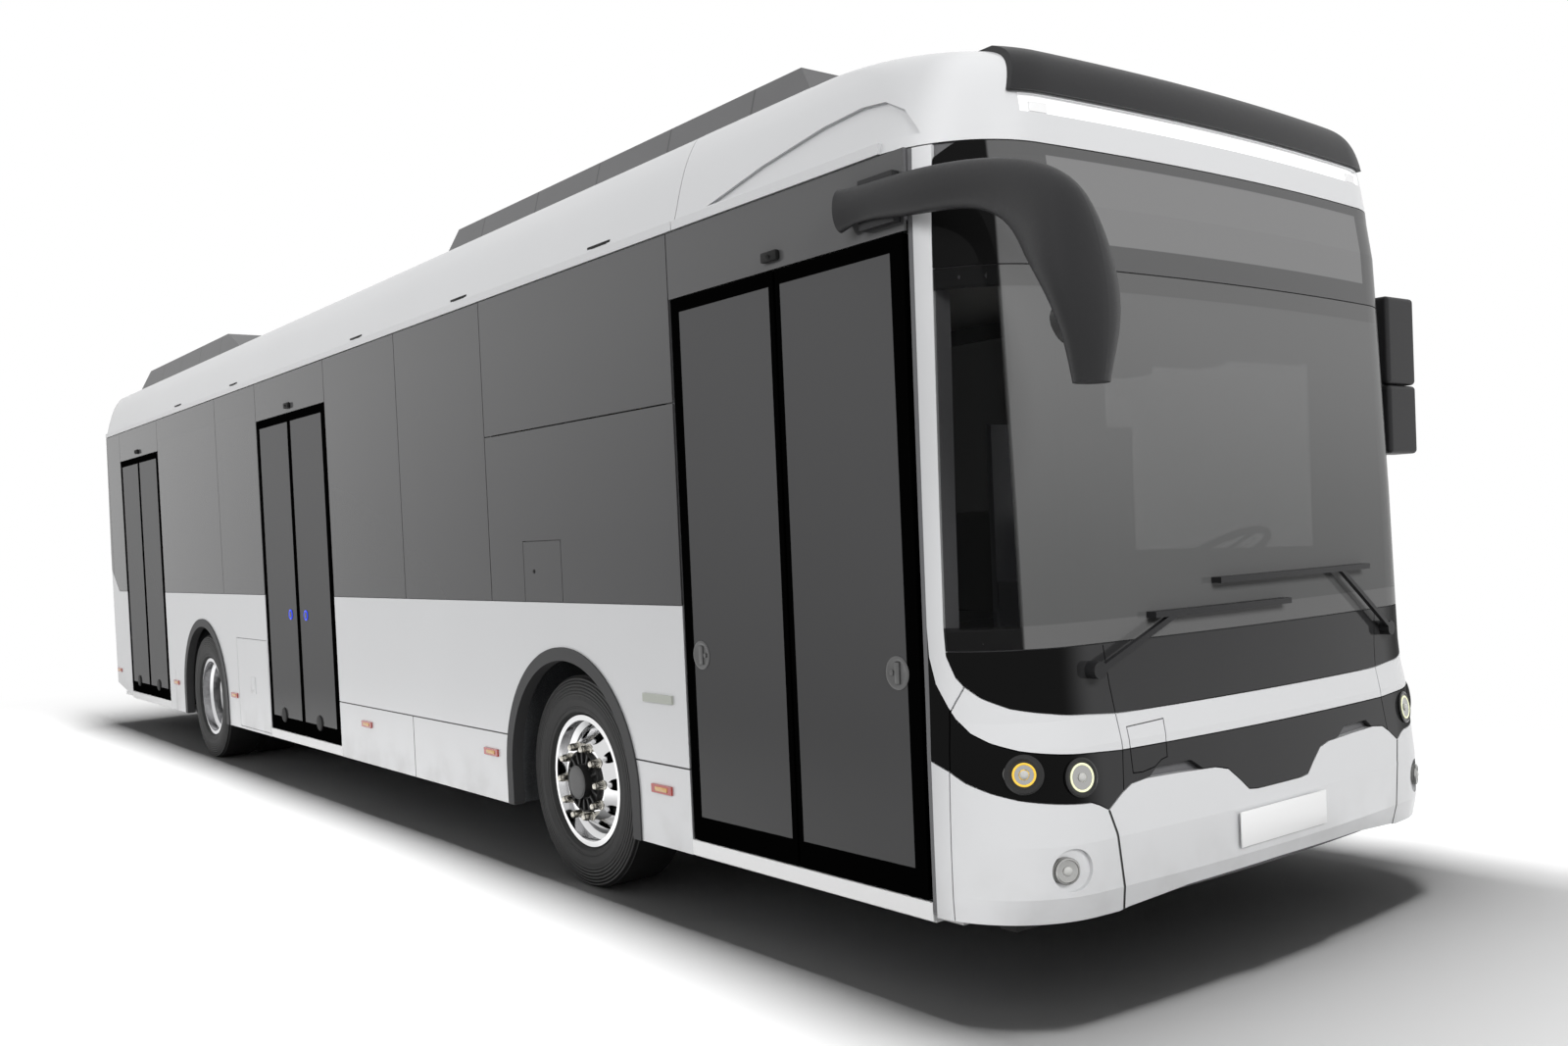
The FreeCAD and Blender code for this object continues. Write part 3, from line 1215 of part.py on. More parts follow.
def build_seats():
    """Pairs of seats along both sides and the driver's seat on its podium."""
    tracks = (D.inner_seat_side, D.outer_seat_side)
    rows = seat_rows()
    spots = [(x, side, D.floor_height) for x in rows for side in tracks]
    spots += [(x, -side, D.floor_height) for x in rows[:2] for side in tracks]
    spots.append((D.front_reach - D.driver_setback, D.driver_side, D.podium_height))
    frames = []
    pads = []
    for spot in spots:
        shell, soft = seat(*spot)
        frames.append(shell)
        pads += soft
    piece("seat_frames", feature("seat_shells", Part.Compound(frames)))
    piece("seat_cushions", feature("pads", Part.Compound(pads)))


def build_poles():
    rows = seat_rows()
    bars = [Part.makeCylinder(D.pole_radius, D.ceiling_height - D.floor_height,
                              Vector(rows[row] + D.seat_pitch * share, side * D.pole_side, D.floor_height),
                              Z_AXIS)
            for row, share, sides in POLE_ROW_SHARES for side in sides]
    piece("grab_poles", feature("poles", Part.Compound(bars)))


def build_ceiling():
    plate = block("ceiling_plate", (SIDE_REAR, SIDE_FRONT), ("wall_depth - half_width",
                                                             "half_width - wall_depth"),
                  ("ceiling_height", "ceiling_height + ceiling_thick"))
    piece("ceiling", plate)


def build_axles():
    """Dropped front beam with kingpin bosses, and the rear portal axle with its motors."""
    x = FRONT_AXLE_TEXT
    half = "beam_width / 2"
    drop = "kingpin_track - 2 * kingpin_radius - beam_width"
    beam = block("beam_drop", (f"{x} - {half}", f"{x} + {half}"), (f"-({drop})", drop),
                 ("beam_low", "beam_high"))
    parts = [beam]
    for hand, sign in (("right", "-"), ("left", "")):
        parts.append(rod(f"boss_{hand}", "kingpin_radius", "boss_high - boss_low",
                         (x, f"{sign}kingpin_track", "boss_low"), Z_AXIS))
        low, high = ("kingpin_track - 2 * kingpin_radius - 1.5 * beam_width",
                     "kingpin_track - kingpin_radius * 2")
        pair = (low, high) if sign == "" else (f"-({high})", f"-({low})")
        parts.append(block(f"beam_rise_{hand}", (f"{x} - {half}", f"{x} + {half}"), pair,
                           ("beam_low", "(boss_low + boss_high) / 2 + arm_size")))
        low, high = ("kingpin_track - kingpin_radius * 2 - seat_gap", "kingpin_track")
        pair = (low, high) if sign == "" else (f"-({high})", f"-({low})")
        parts.append(block(f"beam_neck_{hand}", (f"{x} - arm_size", f"{x} + arm_size"), pair,
                           ("(boss_low + boss_high) / 2 - arm_size",
                            "(boss_low + boss_high) / 2 + arm_size")))
    piece("front_axle", fuse("front_beam", parts))
    x = REAR_AXLE_TEXT
    house = "rear_wheel_track - twin_spacing - tyre_width / 2 - seam_width * 5"
    parts = [block("portal_beam", (f"{x} - {half}", f"{x} + {half}"), (f"-({house})", house),
                   ("beam_low", "beam_high"))]
    for hand, sign in (("right", -1), ("left", 1)):
        pair = (f"{house} - gear_house_radius / 2", house)
        if sign < 0:
            pair = (f"-({house})", f"gear_house_radius / 2 - ({house})")
        parts.append(block(f"gear_house_{hand}", (f"{x} - gear_house_radius", f"{x} + gear_house_radius"),
                           pair,
                           ("beam_low", "tyre_radius + gear_house_radius")))
        length = "twin_spacing / 2 + tyre_width / 2 + seam_width * 5 - disc_thick - seat_gap"
        parts.append(rod(f"stub_{hand}", "spindle_radius", length,
                         (x, house if sign > 0 else f"-({house})", "tyre_radius"), Y_AXIS * sign))
    piece("rear_axle", fuse("portal_axle", parts))


def build_suspension():
    springs = []
    for name, axle in (("front", FRONT_AXLE_TEXT), ("rear", REAR_AXLE_TEXT)):
        for hand, sign in (("right", "-"), ("left", "")):
            springs.append(rod(f"bellow_{name}_{hand}", "spring_radius / 2",
                               "floor_height - floor_thick - beam_high",
                               (axle, f"{sign}spring_track", "beam_high"), Z_AXIS))
    piece("suspension", group("springs", springs))


def build_knuckles():
    for hand, sign in (("right", -1), ("left", 1)):
        x = FRONT_AXLE
        y = sign * D.kingpin_track
        lugs = []
        for low, high in ((D.boss_low - D.seat_gap - D.fork_lug, D.boss_low - D.seat_gap),
                          (D.boss_high + D.seat_gap, D.boss_high + D.seat_gap + D.fork_lug)):
            lug = Part.makeCylinder(D.kingpin_radius + D.lug_rim, high - low, Vector(x, y, low), Z_AXIS)
            inner = D.kingpin_track
            outer = D.kingpin_track + D.kingpin_radius + D.fork_gap + D.fork_plate
            y_low, y_high = sorted((sign * inner, sign * outer))
            lugs.append(lug.fuse(solid_box((x - D.kingpin_radius, y_low, low),
                                           (x + D.kingpin_radius, y_high, high))))
        plate_low = D.kingpin_track + D.kingpin_radius + D.fork_gap
        y_low, y_high = sorted((sign * plate_low, sign * (plate_low + D.fork_plate)))
        plate = solid_box((x - D.kingpin_radius, y_low, D.boss_low - D.seat_gap - D.fork_lug),
                          (x + D.kingpin_radius, y_high, D.boss_high + D.seat_gap + D.fork_lug))
        start = sign * (plate_low + D.fork_plate)
        spindle = Part.makeCylinder(D.spindle_radius, D.spindle_length, Vector(x, start, D.tyre_radius),
                                    Y_AXIS * sign)
        arm_top = D.boss_low - D.seat_gap
        arm = solid_box((x - D.arm_reach_back - D.arm_size / 2, y - D.arm_size / 2, arm_top - D.arm_size),
                        (x, y + D.arm_size / 2, arm_top))
        eye = Vector(x - D.arm_reach_back, y, D.rod_height + D.rod_radius + D.seat_gap)
        pin = Part.makeCylinder(D.rod_pin_radius, arm_top - D.arm_size - eye.z, eye, Z_AXIS)
        knuckle = plate.fuse(lugs + [spindle, arm, pin])
        piece(f"knuckle_{hand}", feature(f"stub_axle_{hand}", knuckle.removeSplitter()))
    span = D.kingpin_track
    x = FRONT_AXLE - D.arm_reach_back
    tie = Part.makeCylinder(D.rod_radius, 2 * span, Vector(x, -span, D.rod_height), Y_AXIS)
    eyes = [Part.makeCylinder(D.rod_radius, 2 * D.rod_radius,
                              Vector(x, side * span, D.rod_height - D.rod_radius),
                              Z_AXIS) for side in (-1, 1)]
    piece("tie_rod", feature("track_rod", tie.fuse(eyes)))


def revolved(points, centre):
    """Outline of (reach along Y, radius) pairs turned round the wheel's axis."""
    wire = Part.makePolygon([Vector(0, y, r) for y, r in points + points[:1]])
    solid = Part.Face(wire).revolve(Vector(), Y_AXIS, 360)
    solid.translate(centre)
    return solid


RIM_SLOPE_SHARE = 0.55
RIM_WELL_SHARE = 0.4
DISC_ROOT_SHARE = 0.3
HAND_HOLES = 10
TYRE_WIDTH_SHARES = (0.47, 0.5, 0.49, 0.46, 0.40)
TYRE_RISE_SHARES = (0.1, 0.4, 0.7, 0.93, 1.0)
HOLLOW_WIDTH_SHARES = (0.5, 0.49, 0.45)
HOLLOW_RISE_SHARES = (0.4, 0.68, 0.86)


def tyre(centre):
    """Hollow casing whose beads sit between the rim's flanges."""
    bead = D.rim_width / 2 - D.rim_wall - D.seat_gap
    root = D.rim_radius - D.rim_wall
    outer = [(bead, root), (bead, D.rim_radius + D.seat_gap)]
    outer += [(D.tyre_width * share, D.rim_radius + (D.tyre_radius - D.rim_radius) * rise)
              for share, rise in zip(TYRE_WIDTH_SHARES, TYRE_RISE_SHARES)]
    inner = [(bead - D.tyre_wall, root), (bead - D.tyre_wall, D.rim_radius + D.tyre_wall)]
    inner += [(D.tyre_width * share - D.tyre_wall, D.rim_radius + (D.tyre_radius - D.rim_radius) * rise)
              for share, rise in zip(HOLLOW_WIDTH_SHARES, HOLLOW_RISE_SHARES)]
    casing = revolved(outer + [(-y, r) for y, r in reversed(outer)], centre)
    return casing.cut(revolved(inner + [(-y, r) for y, r in reversed(inner)], centre))


def rim(centre, sign, reach, bore):
    """Drop-centre rim and its dished disc in one turned outline.

    The disc's outer face lies a reach outboard of the rim's middle, sign gives the outboard side.
    """
    half = D.rim_width / 2
    wall = D.rim_wall
    seat = D.rim_radius - wall - D.seat_gap
    well = D.well_radius
    slope = half * RIM_SLOPE_SHARE
    flat = half * RIM_WELL_SHARE
    barrel = [(-half, D.rim_radius), (wall - half, D.rim_radius), (wall - half, seat), (-slope, seat),
              (-flat, well), (flat, well), (slope, seat), (half - wall, seat), (half - wall, D.rim_radius),
              (half, D.rim_radius), (half, seat - wall), (slope, seat - wall), (flat, well - wall)]
    ring = D.hand_hole_ring
    root = (flat + wall if abs(reach) < half * 2 else flat) * (1 if reach > 0 else -1) * DISC_ROOT_SHARE
    disc = [(root + D.disc_thick / 2, well - wall), (reach, ring - D.hand_hole_radius - D.disc_thick / 2),
            (reach, bore), (reach - D.disc_thick, bore),
            (reach - D.disc_thick, ring - D.hand_hole_radius - D.disc_thick),
            (root - D.disc_thick / 2, well - wall)]
    outline = barrel + disc + [(-flat, well - wall), (-slope, seat - wall), (-half, seat - wall)]
    wheel = revolved([(sign * y, r) for y, r in outline], centre)
    holes = []
    for step in range(HAND_HOLES):
        turn = 2 * math.pi * step / HAND_HOLES
        spot = centre + Vector(ring * math.cos(turn), -D.tyre_width, ring * math.sin(turn))
        holes.append(Part.makeCylinder(D.hand_hole_radius, D.tyre_width * 2, spot, Y_AXIS))
    return wheel.cut(Part.Compound(holes))


def build_wheels():
    spindle_end = D.kingpin_track + D.kingpin_radius + D.fork_gap + D.fork_plate + D.spindle_length
    for hand, sign in (("left", 1), ("right", -1)):
        outward = Y_AXIS * sign
        centre = Vector(FRONT_AXLE, sign * D.front_wheel_track, D.tyre_radius)
        wheel = rim(centre, sign, D.disc_offset, D.hub_radius - D.disc_thick)
        face = D.front_wheel_track + D.disc_offset
        hub = Part.makeCylinder(D.hub_radius, face - spindle_end - D.seat_gap,
                                Vector(FRONT_AXLE, sign * (spindle_end + D.seat_gap), D.tyre_radius), outward)
        cap = Part.makeCylinder(D.hub_cap_radius, D.hub_cap_reach,
                                Vector(FRONT_AXLE, sign * face, D.tyre_radius), outward)
        piece(f"rim_front_{hand}", feature(f"wheel_disc_front_{hand}", wheel.fuse([hub, cap])))
        piece(f"tyre_front_{hand}", feature(f"rubber_front_{hand}", tyre(centre)))
        outer = Vector(REAR_AXLE, sign * D.rear_wheel_track, D.tyre_radius)
        inner = outer - outward * D.twin_spacing
        reach = D.twin_spacing / 2
        hub_face = D.rear_wheel_track - reach
        discs = [rim(outer, -sign, reach, D.hub_radius - D.disc_thick),
                 rim(inner, sign, reach, D.hub_radius - D.disc_thick)]
        hub = Part.makeCylinder(D.hub_radius, D.twin_hub_reach,
                                Vector(REAR_AXLE, sign * (hub_face - D.disc_thick), D.tyre_radius), outward)
        piece(f"rim_rear_{hand}", feature(f"wheel_disc_rear_{hand}", discs[0].fuse([discs[1], hub])))
        piece(f"tyre_rear_{hand}", feature(f"rubber_rear_{hand}", Part.Compound([tyre(outer), tyre(inner)])))


def build_doors():
    """Leaves on turning pillars; the arms run above and below the leaves, and each pair is mirrored."""
    face = -D.half_width
    gap = D.swing_arm_gap + D.seat_gap
    for name, centre in DOORS.items():
        edge = centre - D.door_width / 2
        leaf = solid_box((edge + D.hinge_gap, face, D.door_foot),
                         (centre - D.closing_gap, face + D.leaf_thick, D.door_head))
        leaf = leaf.cut(solid_box((edge + D.outer_stile, face + D.pane_thick, D.door_foot + D.foot_rail),
                                  (centre - D.closing_gap - D.inner_stile, face + D.leaf_thick + D.seam_width,
                                   D.door_head - D.head_rail)))
        pivot = Vector(edge + D.pivot_reach, face + D.pivot_depth, 0)
        post = Vector(edge - D.pillar_back, face + D.pillar_depth, 0)
        for low in (D.door_foot - D.swing_arm_gap, D.door_head):
            leaf = leaf.fuse(Part.makeCylinder(D.pivot_radius, D.swing_arm_gap, pivot + Z_AXIS * low, Z_AXIS))
        arm = Part.makeCylinder(D.pillar_radius, D.ceiling_height - D.floor_height - 2 * D.seat_gap,
                                post + Z_AXIS * (D.floor_height + D.seat_gap), Z_AXIS)
        along = pivot - post
        across = Vector(-along.y, along.x, 0).normalize() * (D.swing_arm_width / 2)
        for low in (D.door_foot - gap - D.swing_arm_thick, D.door_head + gap):
            start = post + Z_AXIS * low
            bar = prism([tuple(start + across), tuple(start + along + across), tuple(start + along - across),
                         tuple(start - across)], Z_AXIS * D.swing_arm_thick)
            tip = Part.makeCylinder(D.swing_arm_width / 2, D.swing_arm_thick, pivot + Z_AXIS * low, Z_AXIS)
            arm = arm.fuse([bar, tip])
        middle = Vector(centre, 0, 0)
        for kind, shape in (("leaf", leaf), ("arm", arm.removeSplitter())):
            piece(f"door_{name}_{kind}_a", feature(f"{kind}_{name}_a", shape))
            piece(f"door_{name}_{kind}_b", feature(f"{kind}_{name}_b", shape.mirror(middle, X_AXIS)))


def build_charge_flap():
    front = f"{FRONT_AXLE_TEXT} - charge_flap_setback"
    flap = block("charge_lid", (f"{front} - charge_flap_length", front),
                 ("-half_width", "skin_thick - half_width - seat_gap"),
                 ("charge_flap_low", "charge_flap_high"))
    piece("charge_flap", flap)


build_floor()
build_chassis()
build_wheel_boxes()
build_side_walls()
build_lower_panels()
build_glass()
build_flares()
build_rear(build_roof())
build_front()
build_pods()
build_lamps()
build_mirrors()
build_wipers()
build_dashboard()
build_steering_wheel()
build_cab()
build_seats()
build_poles()
build_ceiling()
build_axles()
build_suspension()
build_knuckles()
build_wheels()
build_doors()
build_charge_flap()

doc.recompute()
for item in doc.Objects:
    if "Invalid" in item.State or "Error" in item.State:
        raise RuntimeError(f"{item.Name} failed to recompute")
for node, item in pieces.items():
    if item.Shape.isNull() or not item.Shape.isValid():
        raise RuntimeError(f"{node} has no valid shape")
os.makedirs("parts", exist_ok=True)
for node, item in pieces.items():
    item.Shape.exportStep(f"parts/{node}.step")
    box = item.Shape.BoundBox
    print(node, len(item.Shape.Solids), f"{box.XMin:.0f} {box.XMax:.0f} {box.YMin:.0f} {box.YMax:.0f}"
          f" {box.ZMin:.0f} {box.ZMax:.0f}")
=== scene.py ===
import math

import bmesh
import bpy
from mathutils import Matrix, Vector


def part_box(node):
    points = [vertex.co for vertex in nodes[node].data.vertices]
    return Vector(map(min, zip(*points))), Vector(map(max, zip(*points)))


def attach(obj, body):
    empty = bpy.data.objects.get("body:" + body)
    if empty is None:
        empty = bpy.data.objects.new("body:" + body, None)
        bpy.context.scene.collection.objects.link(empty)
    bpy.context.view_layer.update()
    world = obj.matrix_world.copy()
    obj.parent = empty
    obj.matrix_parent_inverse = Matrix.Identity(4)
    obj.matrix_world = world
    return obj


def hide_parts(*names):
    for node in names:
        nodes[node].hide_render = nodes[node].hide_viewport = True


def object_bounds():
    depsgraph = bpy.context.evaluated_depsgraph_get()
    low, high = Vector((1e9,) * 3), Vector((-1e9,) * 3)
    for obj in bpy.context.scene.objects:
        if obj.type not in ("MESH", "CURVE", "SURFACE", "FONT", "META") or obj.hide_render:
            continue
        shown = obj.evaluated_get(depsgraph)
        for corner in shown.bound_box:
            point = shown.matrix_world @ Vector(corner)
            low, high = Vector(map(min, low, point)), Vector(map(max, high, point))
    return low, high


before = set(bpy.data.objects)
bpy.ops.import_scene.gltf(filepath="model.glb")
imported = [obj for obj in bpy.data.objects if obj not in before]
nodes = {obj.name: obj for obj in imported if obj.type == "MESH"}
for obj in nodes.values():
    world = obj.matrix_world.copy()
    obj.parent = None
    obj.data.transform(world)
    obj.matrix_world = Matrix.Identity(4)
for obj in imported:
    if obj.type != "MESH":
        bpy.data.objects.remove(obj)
cad_low, cad_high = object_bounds()


# Studio
# The vehicle stands on a seamless white floor. One box straight overhead lights the floor alone,
# which keeps the shadow close under it, and wide soft boxes above and on all four sides light the vehicle.
class Value:
    """A shader socket that takes Python's arithmetic."""

    def __init__(self, paint, socket):
        self.paint = paint
        self.socket = socket

    def math(self, operation, other, swapped=False):
        """A Math node on this socket and another value."""
        pair = (other, self) if swapped else (self, other)
        return self.paint.node("ShaderNodeMath", {"operation": operation}, {0: pair[0], 1: pair[1]})

    def __add__(self, other):
        return self.math("ADD", other)

    def __sub__(self, other):
        return self.math("SUBTRACT", other)

    def __rsub__(self, other):
        return self.math("SUBTRACT", other, True)

    def __mul__(self, other):
        return self.math("MULTIPLY", other)

    def __gt__(self, other):
        return self.math("GREATER_THAN", other)

    def __lt__(self, other):
        return self.math("LESS_THAN", other)

    __radd__ = __add__
    __rmul__ = __mul__

    def size(self):
        """The value without its sign."""
        return self.math("ABSOLUTE", 0.0)


class Paint:
    """One material under construction round its Principled shader."""

    def __init__(self, name, colour=(0.5, 0.5, 0.5), roughness=0.5, **plain):
        self.material = bpy.data.materials.new(name)
        self.material.use_nodes = True
        self.tree = self.material.node_tree
        self.shader = self.tree.nodes["Principled BSDF"]
        self.set("Base Color", colour)
        self.set("Roughness", roughness)
        for title, amount in plain.items():
            self.set(title.replace("_", " "), amount)
        self.place = self.node("ShaderNodeTexCoord", output="Object")

    def feed(self, socket, value):
        """Links a value to a socket, or sets the socket to it."""
        if isinstance(value, Value):
            self.tree.links.new(value.socket, socket)
        elif isinstance(value, tuple) and len(value) == 3 and socket.type == "RGBA":
            socket.default_value = (*value, 1.0)
        else:
            socket.default_value = value

    def set(self, title, value):
        """Feeds one socket of the Principled shader."""
        self.feed(self.shader.inputs[title], value)

    def node(self, kind, settings=None, sockets=None, output=0):
        """A new node with its settings and sockets filled in, as the value of one output."""
        made = self.tree.nodes.new(kind)
        for key, value in (settings or {}).items():
            setattr(made, key, value)
        for title, value in (sockets or {}).items():
            self.feed(made.inputs[title], value)
        return Value(self, made.outputs[output])

    def axes(self):
        """X, Y and Z of the surface point."""
        split = self.node("ShaderNodeSeparateXYZ", None, {0: self.place})
        return [Value(self, split.socket.node.outputs[index]) for index in range(3)]

    def noise(self, scale, detail=3.0, stretch=(1.0, 1.0, 1.0)):
        """Soft random patches, finer with scale."""
        where = self.node("ShaderNodeMapping", None, {"Vector": self.place, "Scale": stretch})
        return self.node("ShaderNodeTexNoise", None, {"Vector": where, "Scale": scale, "Detail": detail})

    def ramp(self, value, low, high, start=0.0, end=1.0):
        """The value taken smoothly from start to end as it goes from low to high."""
        return self.node("ShaderNodeMapRange", {"interpolation_type": "SMOOTHSTEP"},
                         {0: value, 1: low, 2: high, 3: start, 4: end})

    def tint(self, mask, first, second):
        """One colour where the mask is 0 and the other where it is 1."""
        return self.node("ShaderNodeMix", {"data_type": "RGBA"}, {0: mask, 6: first, 7: second}, 2)

    def bump(self, height, strength, distance):
        """Fine relief in the finish, this deep in metres."""
        self.set("Normal", self.node("ShaderNodeBump", None,
                                     {"Height": height, "Strength": strength, "Distance": distance}))

    def blend(self, share, other):
        """Mixes a share of another shader into this one."""
        mixed = self.node("ShaderNodeMixShader", None,
                          {0: share, 1: Value(self, self.shader.outputs[0]), 2: other})
        self.tree.links.new(mixed.socket, self.tree.nodes["Material Output"].inputs["Surface"])

    def see_through(self, share):
        """Lets a share of the light pass straight on, and keeps the rest of the shader."""
        self.blend(share, self.node("ShaderNodeBsdfTransparent", None, {0: (1.0, 1.0, 1.0)}))

    def polish(self, scale, detail, smooth, rough):
        """Roughness that wanders between two values in patches of a noise."""
        self.set("Roughness", self.ramp(self.noise(scale, detail), 0.3, 0.8, smooth, rough))

    def shades(self, pattern, first, second):
        """Base colour that goes from one shade to the other with a pattern."""
        self.set("Base Color", self.tint(pattern, first, second))

    def glow(self, scale, first, second):
        """Emission that wanders between two shades."""
        self.set("Emission Color", self.tint(self.noise(scale), first, second))

    def within(self, value, low, high, soft=0.002):
        """1 between two places along an axis and 0 outside them."""
        return self.ramp(value, low - soft, low) * self.ramp(value, high, high + soft, 1.0, 0.0)


def dress(paint, *names):
    """Gives frame nodes a material."""
    for name in names:
        mesh = nodes[name].data
        mesh.materials.clear()
        mesh.materials.append(paint.material)


def deselect():
    """Clears the selection, because an operator acts on all that is selected."""
    bpy.ops.object.select_all(action="DESELECT")


FLOOR_SPAN = 160.0
SHADOW_EDGE = 0.4
FLOOR_CLEAR = 4.0
WORLD_LIGHT = 0.10
FLOOR_BOUNCE, FLOOR_SEEN = 0.36, 0.84
deselect()
bpy.ops.mesh.primitive_plane_add(size=FLOOR_SPAN, location=(0, 0, 0))
floor = bpy.context.object
floor.name = "studio_floor"
floor_white = Paint("studio_white", (FLOOR_BOUNCE,) * 3, 0.9)
floor_x, floor_y, _ = floor_white.axes()
past_ends = (floor_x.size() - cad_high.x).math("MAXIMUM", 0.0)
past_sides = (floor_y.size() - cad_high.y).math("MAXIMUM", 0.0)
away = (past_ends * past_ends + past_sides * past_sides).math("SQRT", 0.0)
ray = floor_white.tree.nodes.new("ShaderNodeLightPath")
looked_at = Value(floor_white, ray.outputs["Is Camera Ray"])
for kind in ("Is Glossy Ray", "Is Transmission Ray"):
    looked_at = looked_at.math("MAXIMUM", Value(floor_white, ray.outputs[kind]))
near_white = floor_white.node("ShaderNodeBsdfDiffuse", None, {"Color": (FLOOR_SEEN,) * 3})
far_white = floor_white.node("ShaderNodeEmission", None, {"Strength": 1.0})
shown = floor_white.node("ShaderNodeMixShader", None,
                         {0: floor_white.ramp(away, SHADOW_EDGE, FLOOR_CLEAR), 1: near_white, 2: far_white})
floor_white.blend(looked_at, shown)
floor.data.materials.append(floor_white.material)

world = bpy.data.worlds.new("studio_world")
bpy.context.scene.world = world
world.use_nodes = True
sky = world.node_tree
lit_sky = sky.nodes["Background"]
seen_sky = sky.nodes.new("ShaderNodeBackground")
for backdrop, strength in ((lit_sky, WORLD_LIGHT), (seen_sky, 1.0)):
    backdrop.inputs["Color"].default_value = (1.0, 1.0, 1.0, 1.0)
    backdrop.inputs["Strength"].default_value = strength
sky_ray = sky.nodes.new("ShaderNodeLightPath")
first_two = sky.nodes.new("ShaderNodeMath")
all_three = sky.nodes.new("ShaderNodeMath")
choose = sky.nodes.new("ShaderNodeMixShader")
first_two.operation = all_three.operation = "MAXIMUM"
sky.links.new(sky_ray.outputs["Is Camera Ray"], first_two.inputs[0])
sky.links.new(sky_ray.outputs["Is Glossy Ray"], first_two.inputs[1])
sky.links.new(first_two.outputs[0], all_three.inputs[0])
sky.links.new(sky_ray.outputs["Is Transmission Ray"], all_three.inputs[1])
sky.links.new(all_three.outputs[0], choose.inputs[0])
sky.links.new(lit_sky.outputs[0], choose.inputs[1])
sky.links.new(seen_sky.outputs[0], choose.inputs[2])
sky.links.new(choose.outputs[0], sky.nodes["World Output"].inputs["Surface"])


def soft_box(name, power, size, spot, aim, on_floor="EXCLUDE"):
    """Rectangular lamp at a spot, pointed at an aim, that leaves out the floor or lights it alone."""
    lamp = bpy.data.lights.new(name, "AREA")
    lamp.shape = "RECTANGLE"
    lamp.size, lamp.size_y = size
    lamp.energy = power
    holder = bpy.data.objects.new(name, lamp)
    bpy.context.scene.collection.objects.link(holder)
    holder.location = spot
    holder.rotation_euler = (Vector(aim) - Vector(spot)).to_track_quat("-Z", "Y").to_euler()
    holder.visible_camera = False
    holder.visible_glossy = False
    lit = bpy.data.collections.new(f"{name}_floor")
    lit.objects.link(floor)
    holder.light_linking.receiver_collection = lit
    lit.collection_objects[0].light_linking.link_state = on_floor


soft_box("floor_box", 3500.0, (13.0, 2.2), (0.2, -0.3, 12.0), (0.2, -0.3, 0.0), "INCLUDE")
soft_box("overhead_box", 280.0, (14.0, 5.0), (0.0, -0.5, 11.0), (0.0, -0.3, 0.0))
soft_box("kerb_box", 1080.0, (18.0, 4.0), (1.0, -11.0, 8.0), (0.0, 0.0, 1.4))
soft_box("front_box", 1100.0, (7.0, 4.0), (16.0, -1.5, 7.0), (5.0, 0.0, 1.4))
soft_box("far_box", 700.0, (18.0, 4.0), (0.0, 11.0, 8.0), (0.0, 0.0, 1.4))
soft_box("rear_box", 600.0, (6.0, 4.0), (-16.0, 0.0, 7.0), (-5.0, 0.0, 1.4))

# Camera
# The picture was taken from ahead of the right front corner at eye height, with a short lens.
FOCAL_PIXELS = 1406.8
PICTURE_WIDTH = 1600.0
SENSOR = 36.0
SHIFT = (-0.0099, 0.0284)
EYE = (8.5751, -4.2472, 1.5541)
camera_data = bpy.data.cameras.new("picture_camera")
camera = bpy.data.objects.new("picture_camera", camera_data)
bpy.context.scene.collection.objects.link(camera)
camera_data.sensor_width = SENSOR
camera_data.lens = FOCAL_PIXELS / PICTURE_WIDTH * SENSOR
camera_data.shift_x, camera_data.shift_y = SHIFT
camera_data.clip_end = 500.0
yaw, pitch, roll = 2.4767, -0.0249, -0.044
ahead = Vector((math.cos(yaw) * math.cos(pitch), math.sin(yaw) * math.cos(pitch), math.sin(pitch)))
level = Vector((math.sin(yaw), -math.cos(yaw), 0.0))
upward = level.cross(ahead)
across = math.cos(roll) * level + math.sin(roll) * upward
upright = math.cos(roll) * upward - math.sin(roll) * level
facing = Matrix((across, upright, -ahead)).transposed().to_4x4()
camera.matrix_world = Matrix.Translation(EYE) @ facing
bpy.context.scene.camera = camera
bpy.context.scene.view_settings.view_transform = "Standard"

# Chassis
# Rails and crossmembers are sprayed with matt black wax, thicker in places,
# with a thin film of road dust on them.
wax = Paint("frame_wax", roughness=0.62)
wax_patches = wax.ramp(wax.noise(9.0, 5.0), 0.45, 0.7)
wax.shades(wax_patches, (0.03, 0.03, 0.031), (0.075, 0.072, 0.068))
wax.bump(wax.noise(160.0), 0.25, 0.0008)
dress(wax, "chassis_frame")

# Axles and knuckles
# The dropped front beam, the portal axle and the knuckles are sand castings with a rough black skin.
casting = Paint("cast_iron_black", roughness=0.55, Metallic=0.4)
casting_grain = casting.noise(240.0, 4.0)
casting.shades(casting_grain, (0.04, 0.04, 0.042), (0.085, 0.083, 0.08))
casting.bump(casting_grain, 0.5, 0.0012)
dress(casting, "front_axle", "rear_axle", "knuckle_right", "knuckle_left")
rod_steel = Paint("rod_steel", (0.42, 0.42, 0.42), 0.38, Metallic=1.0)
rod_lines = rod_steel.noise(90.0, 2.0, (1.0, 0.03, 1.0))
rod_steel.set("Roughness", rod_steel.ramp(rod_lines, 0.3, 0.7, 0.28, 0.5))
dress(rod_steel, "tie_rod")
bellow = Paint("bellow_rubber", (0.022, 0.022, 0.022), 0.7)
BELLOW_RINGS = 210.0
bellow_height = bellow.axes()[2]
bellow.bump((bellow_height * BELLOW_RINGS).math("SINE", 0.0), 0.6, 0.004)
dress(bellow, "suspension")

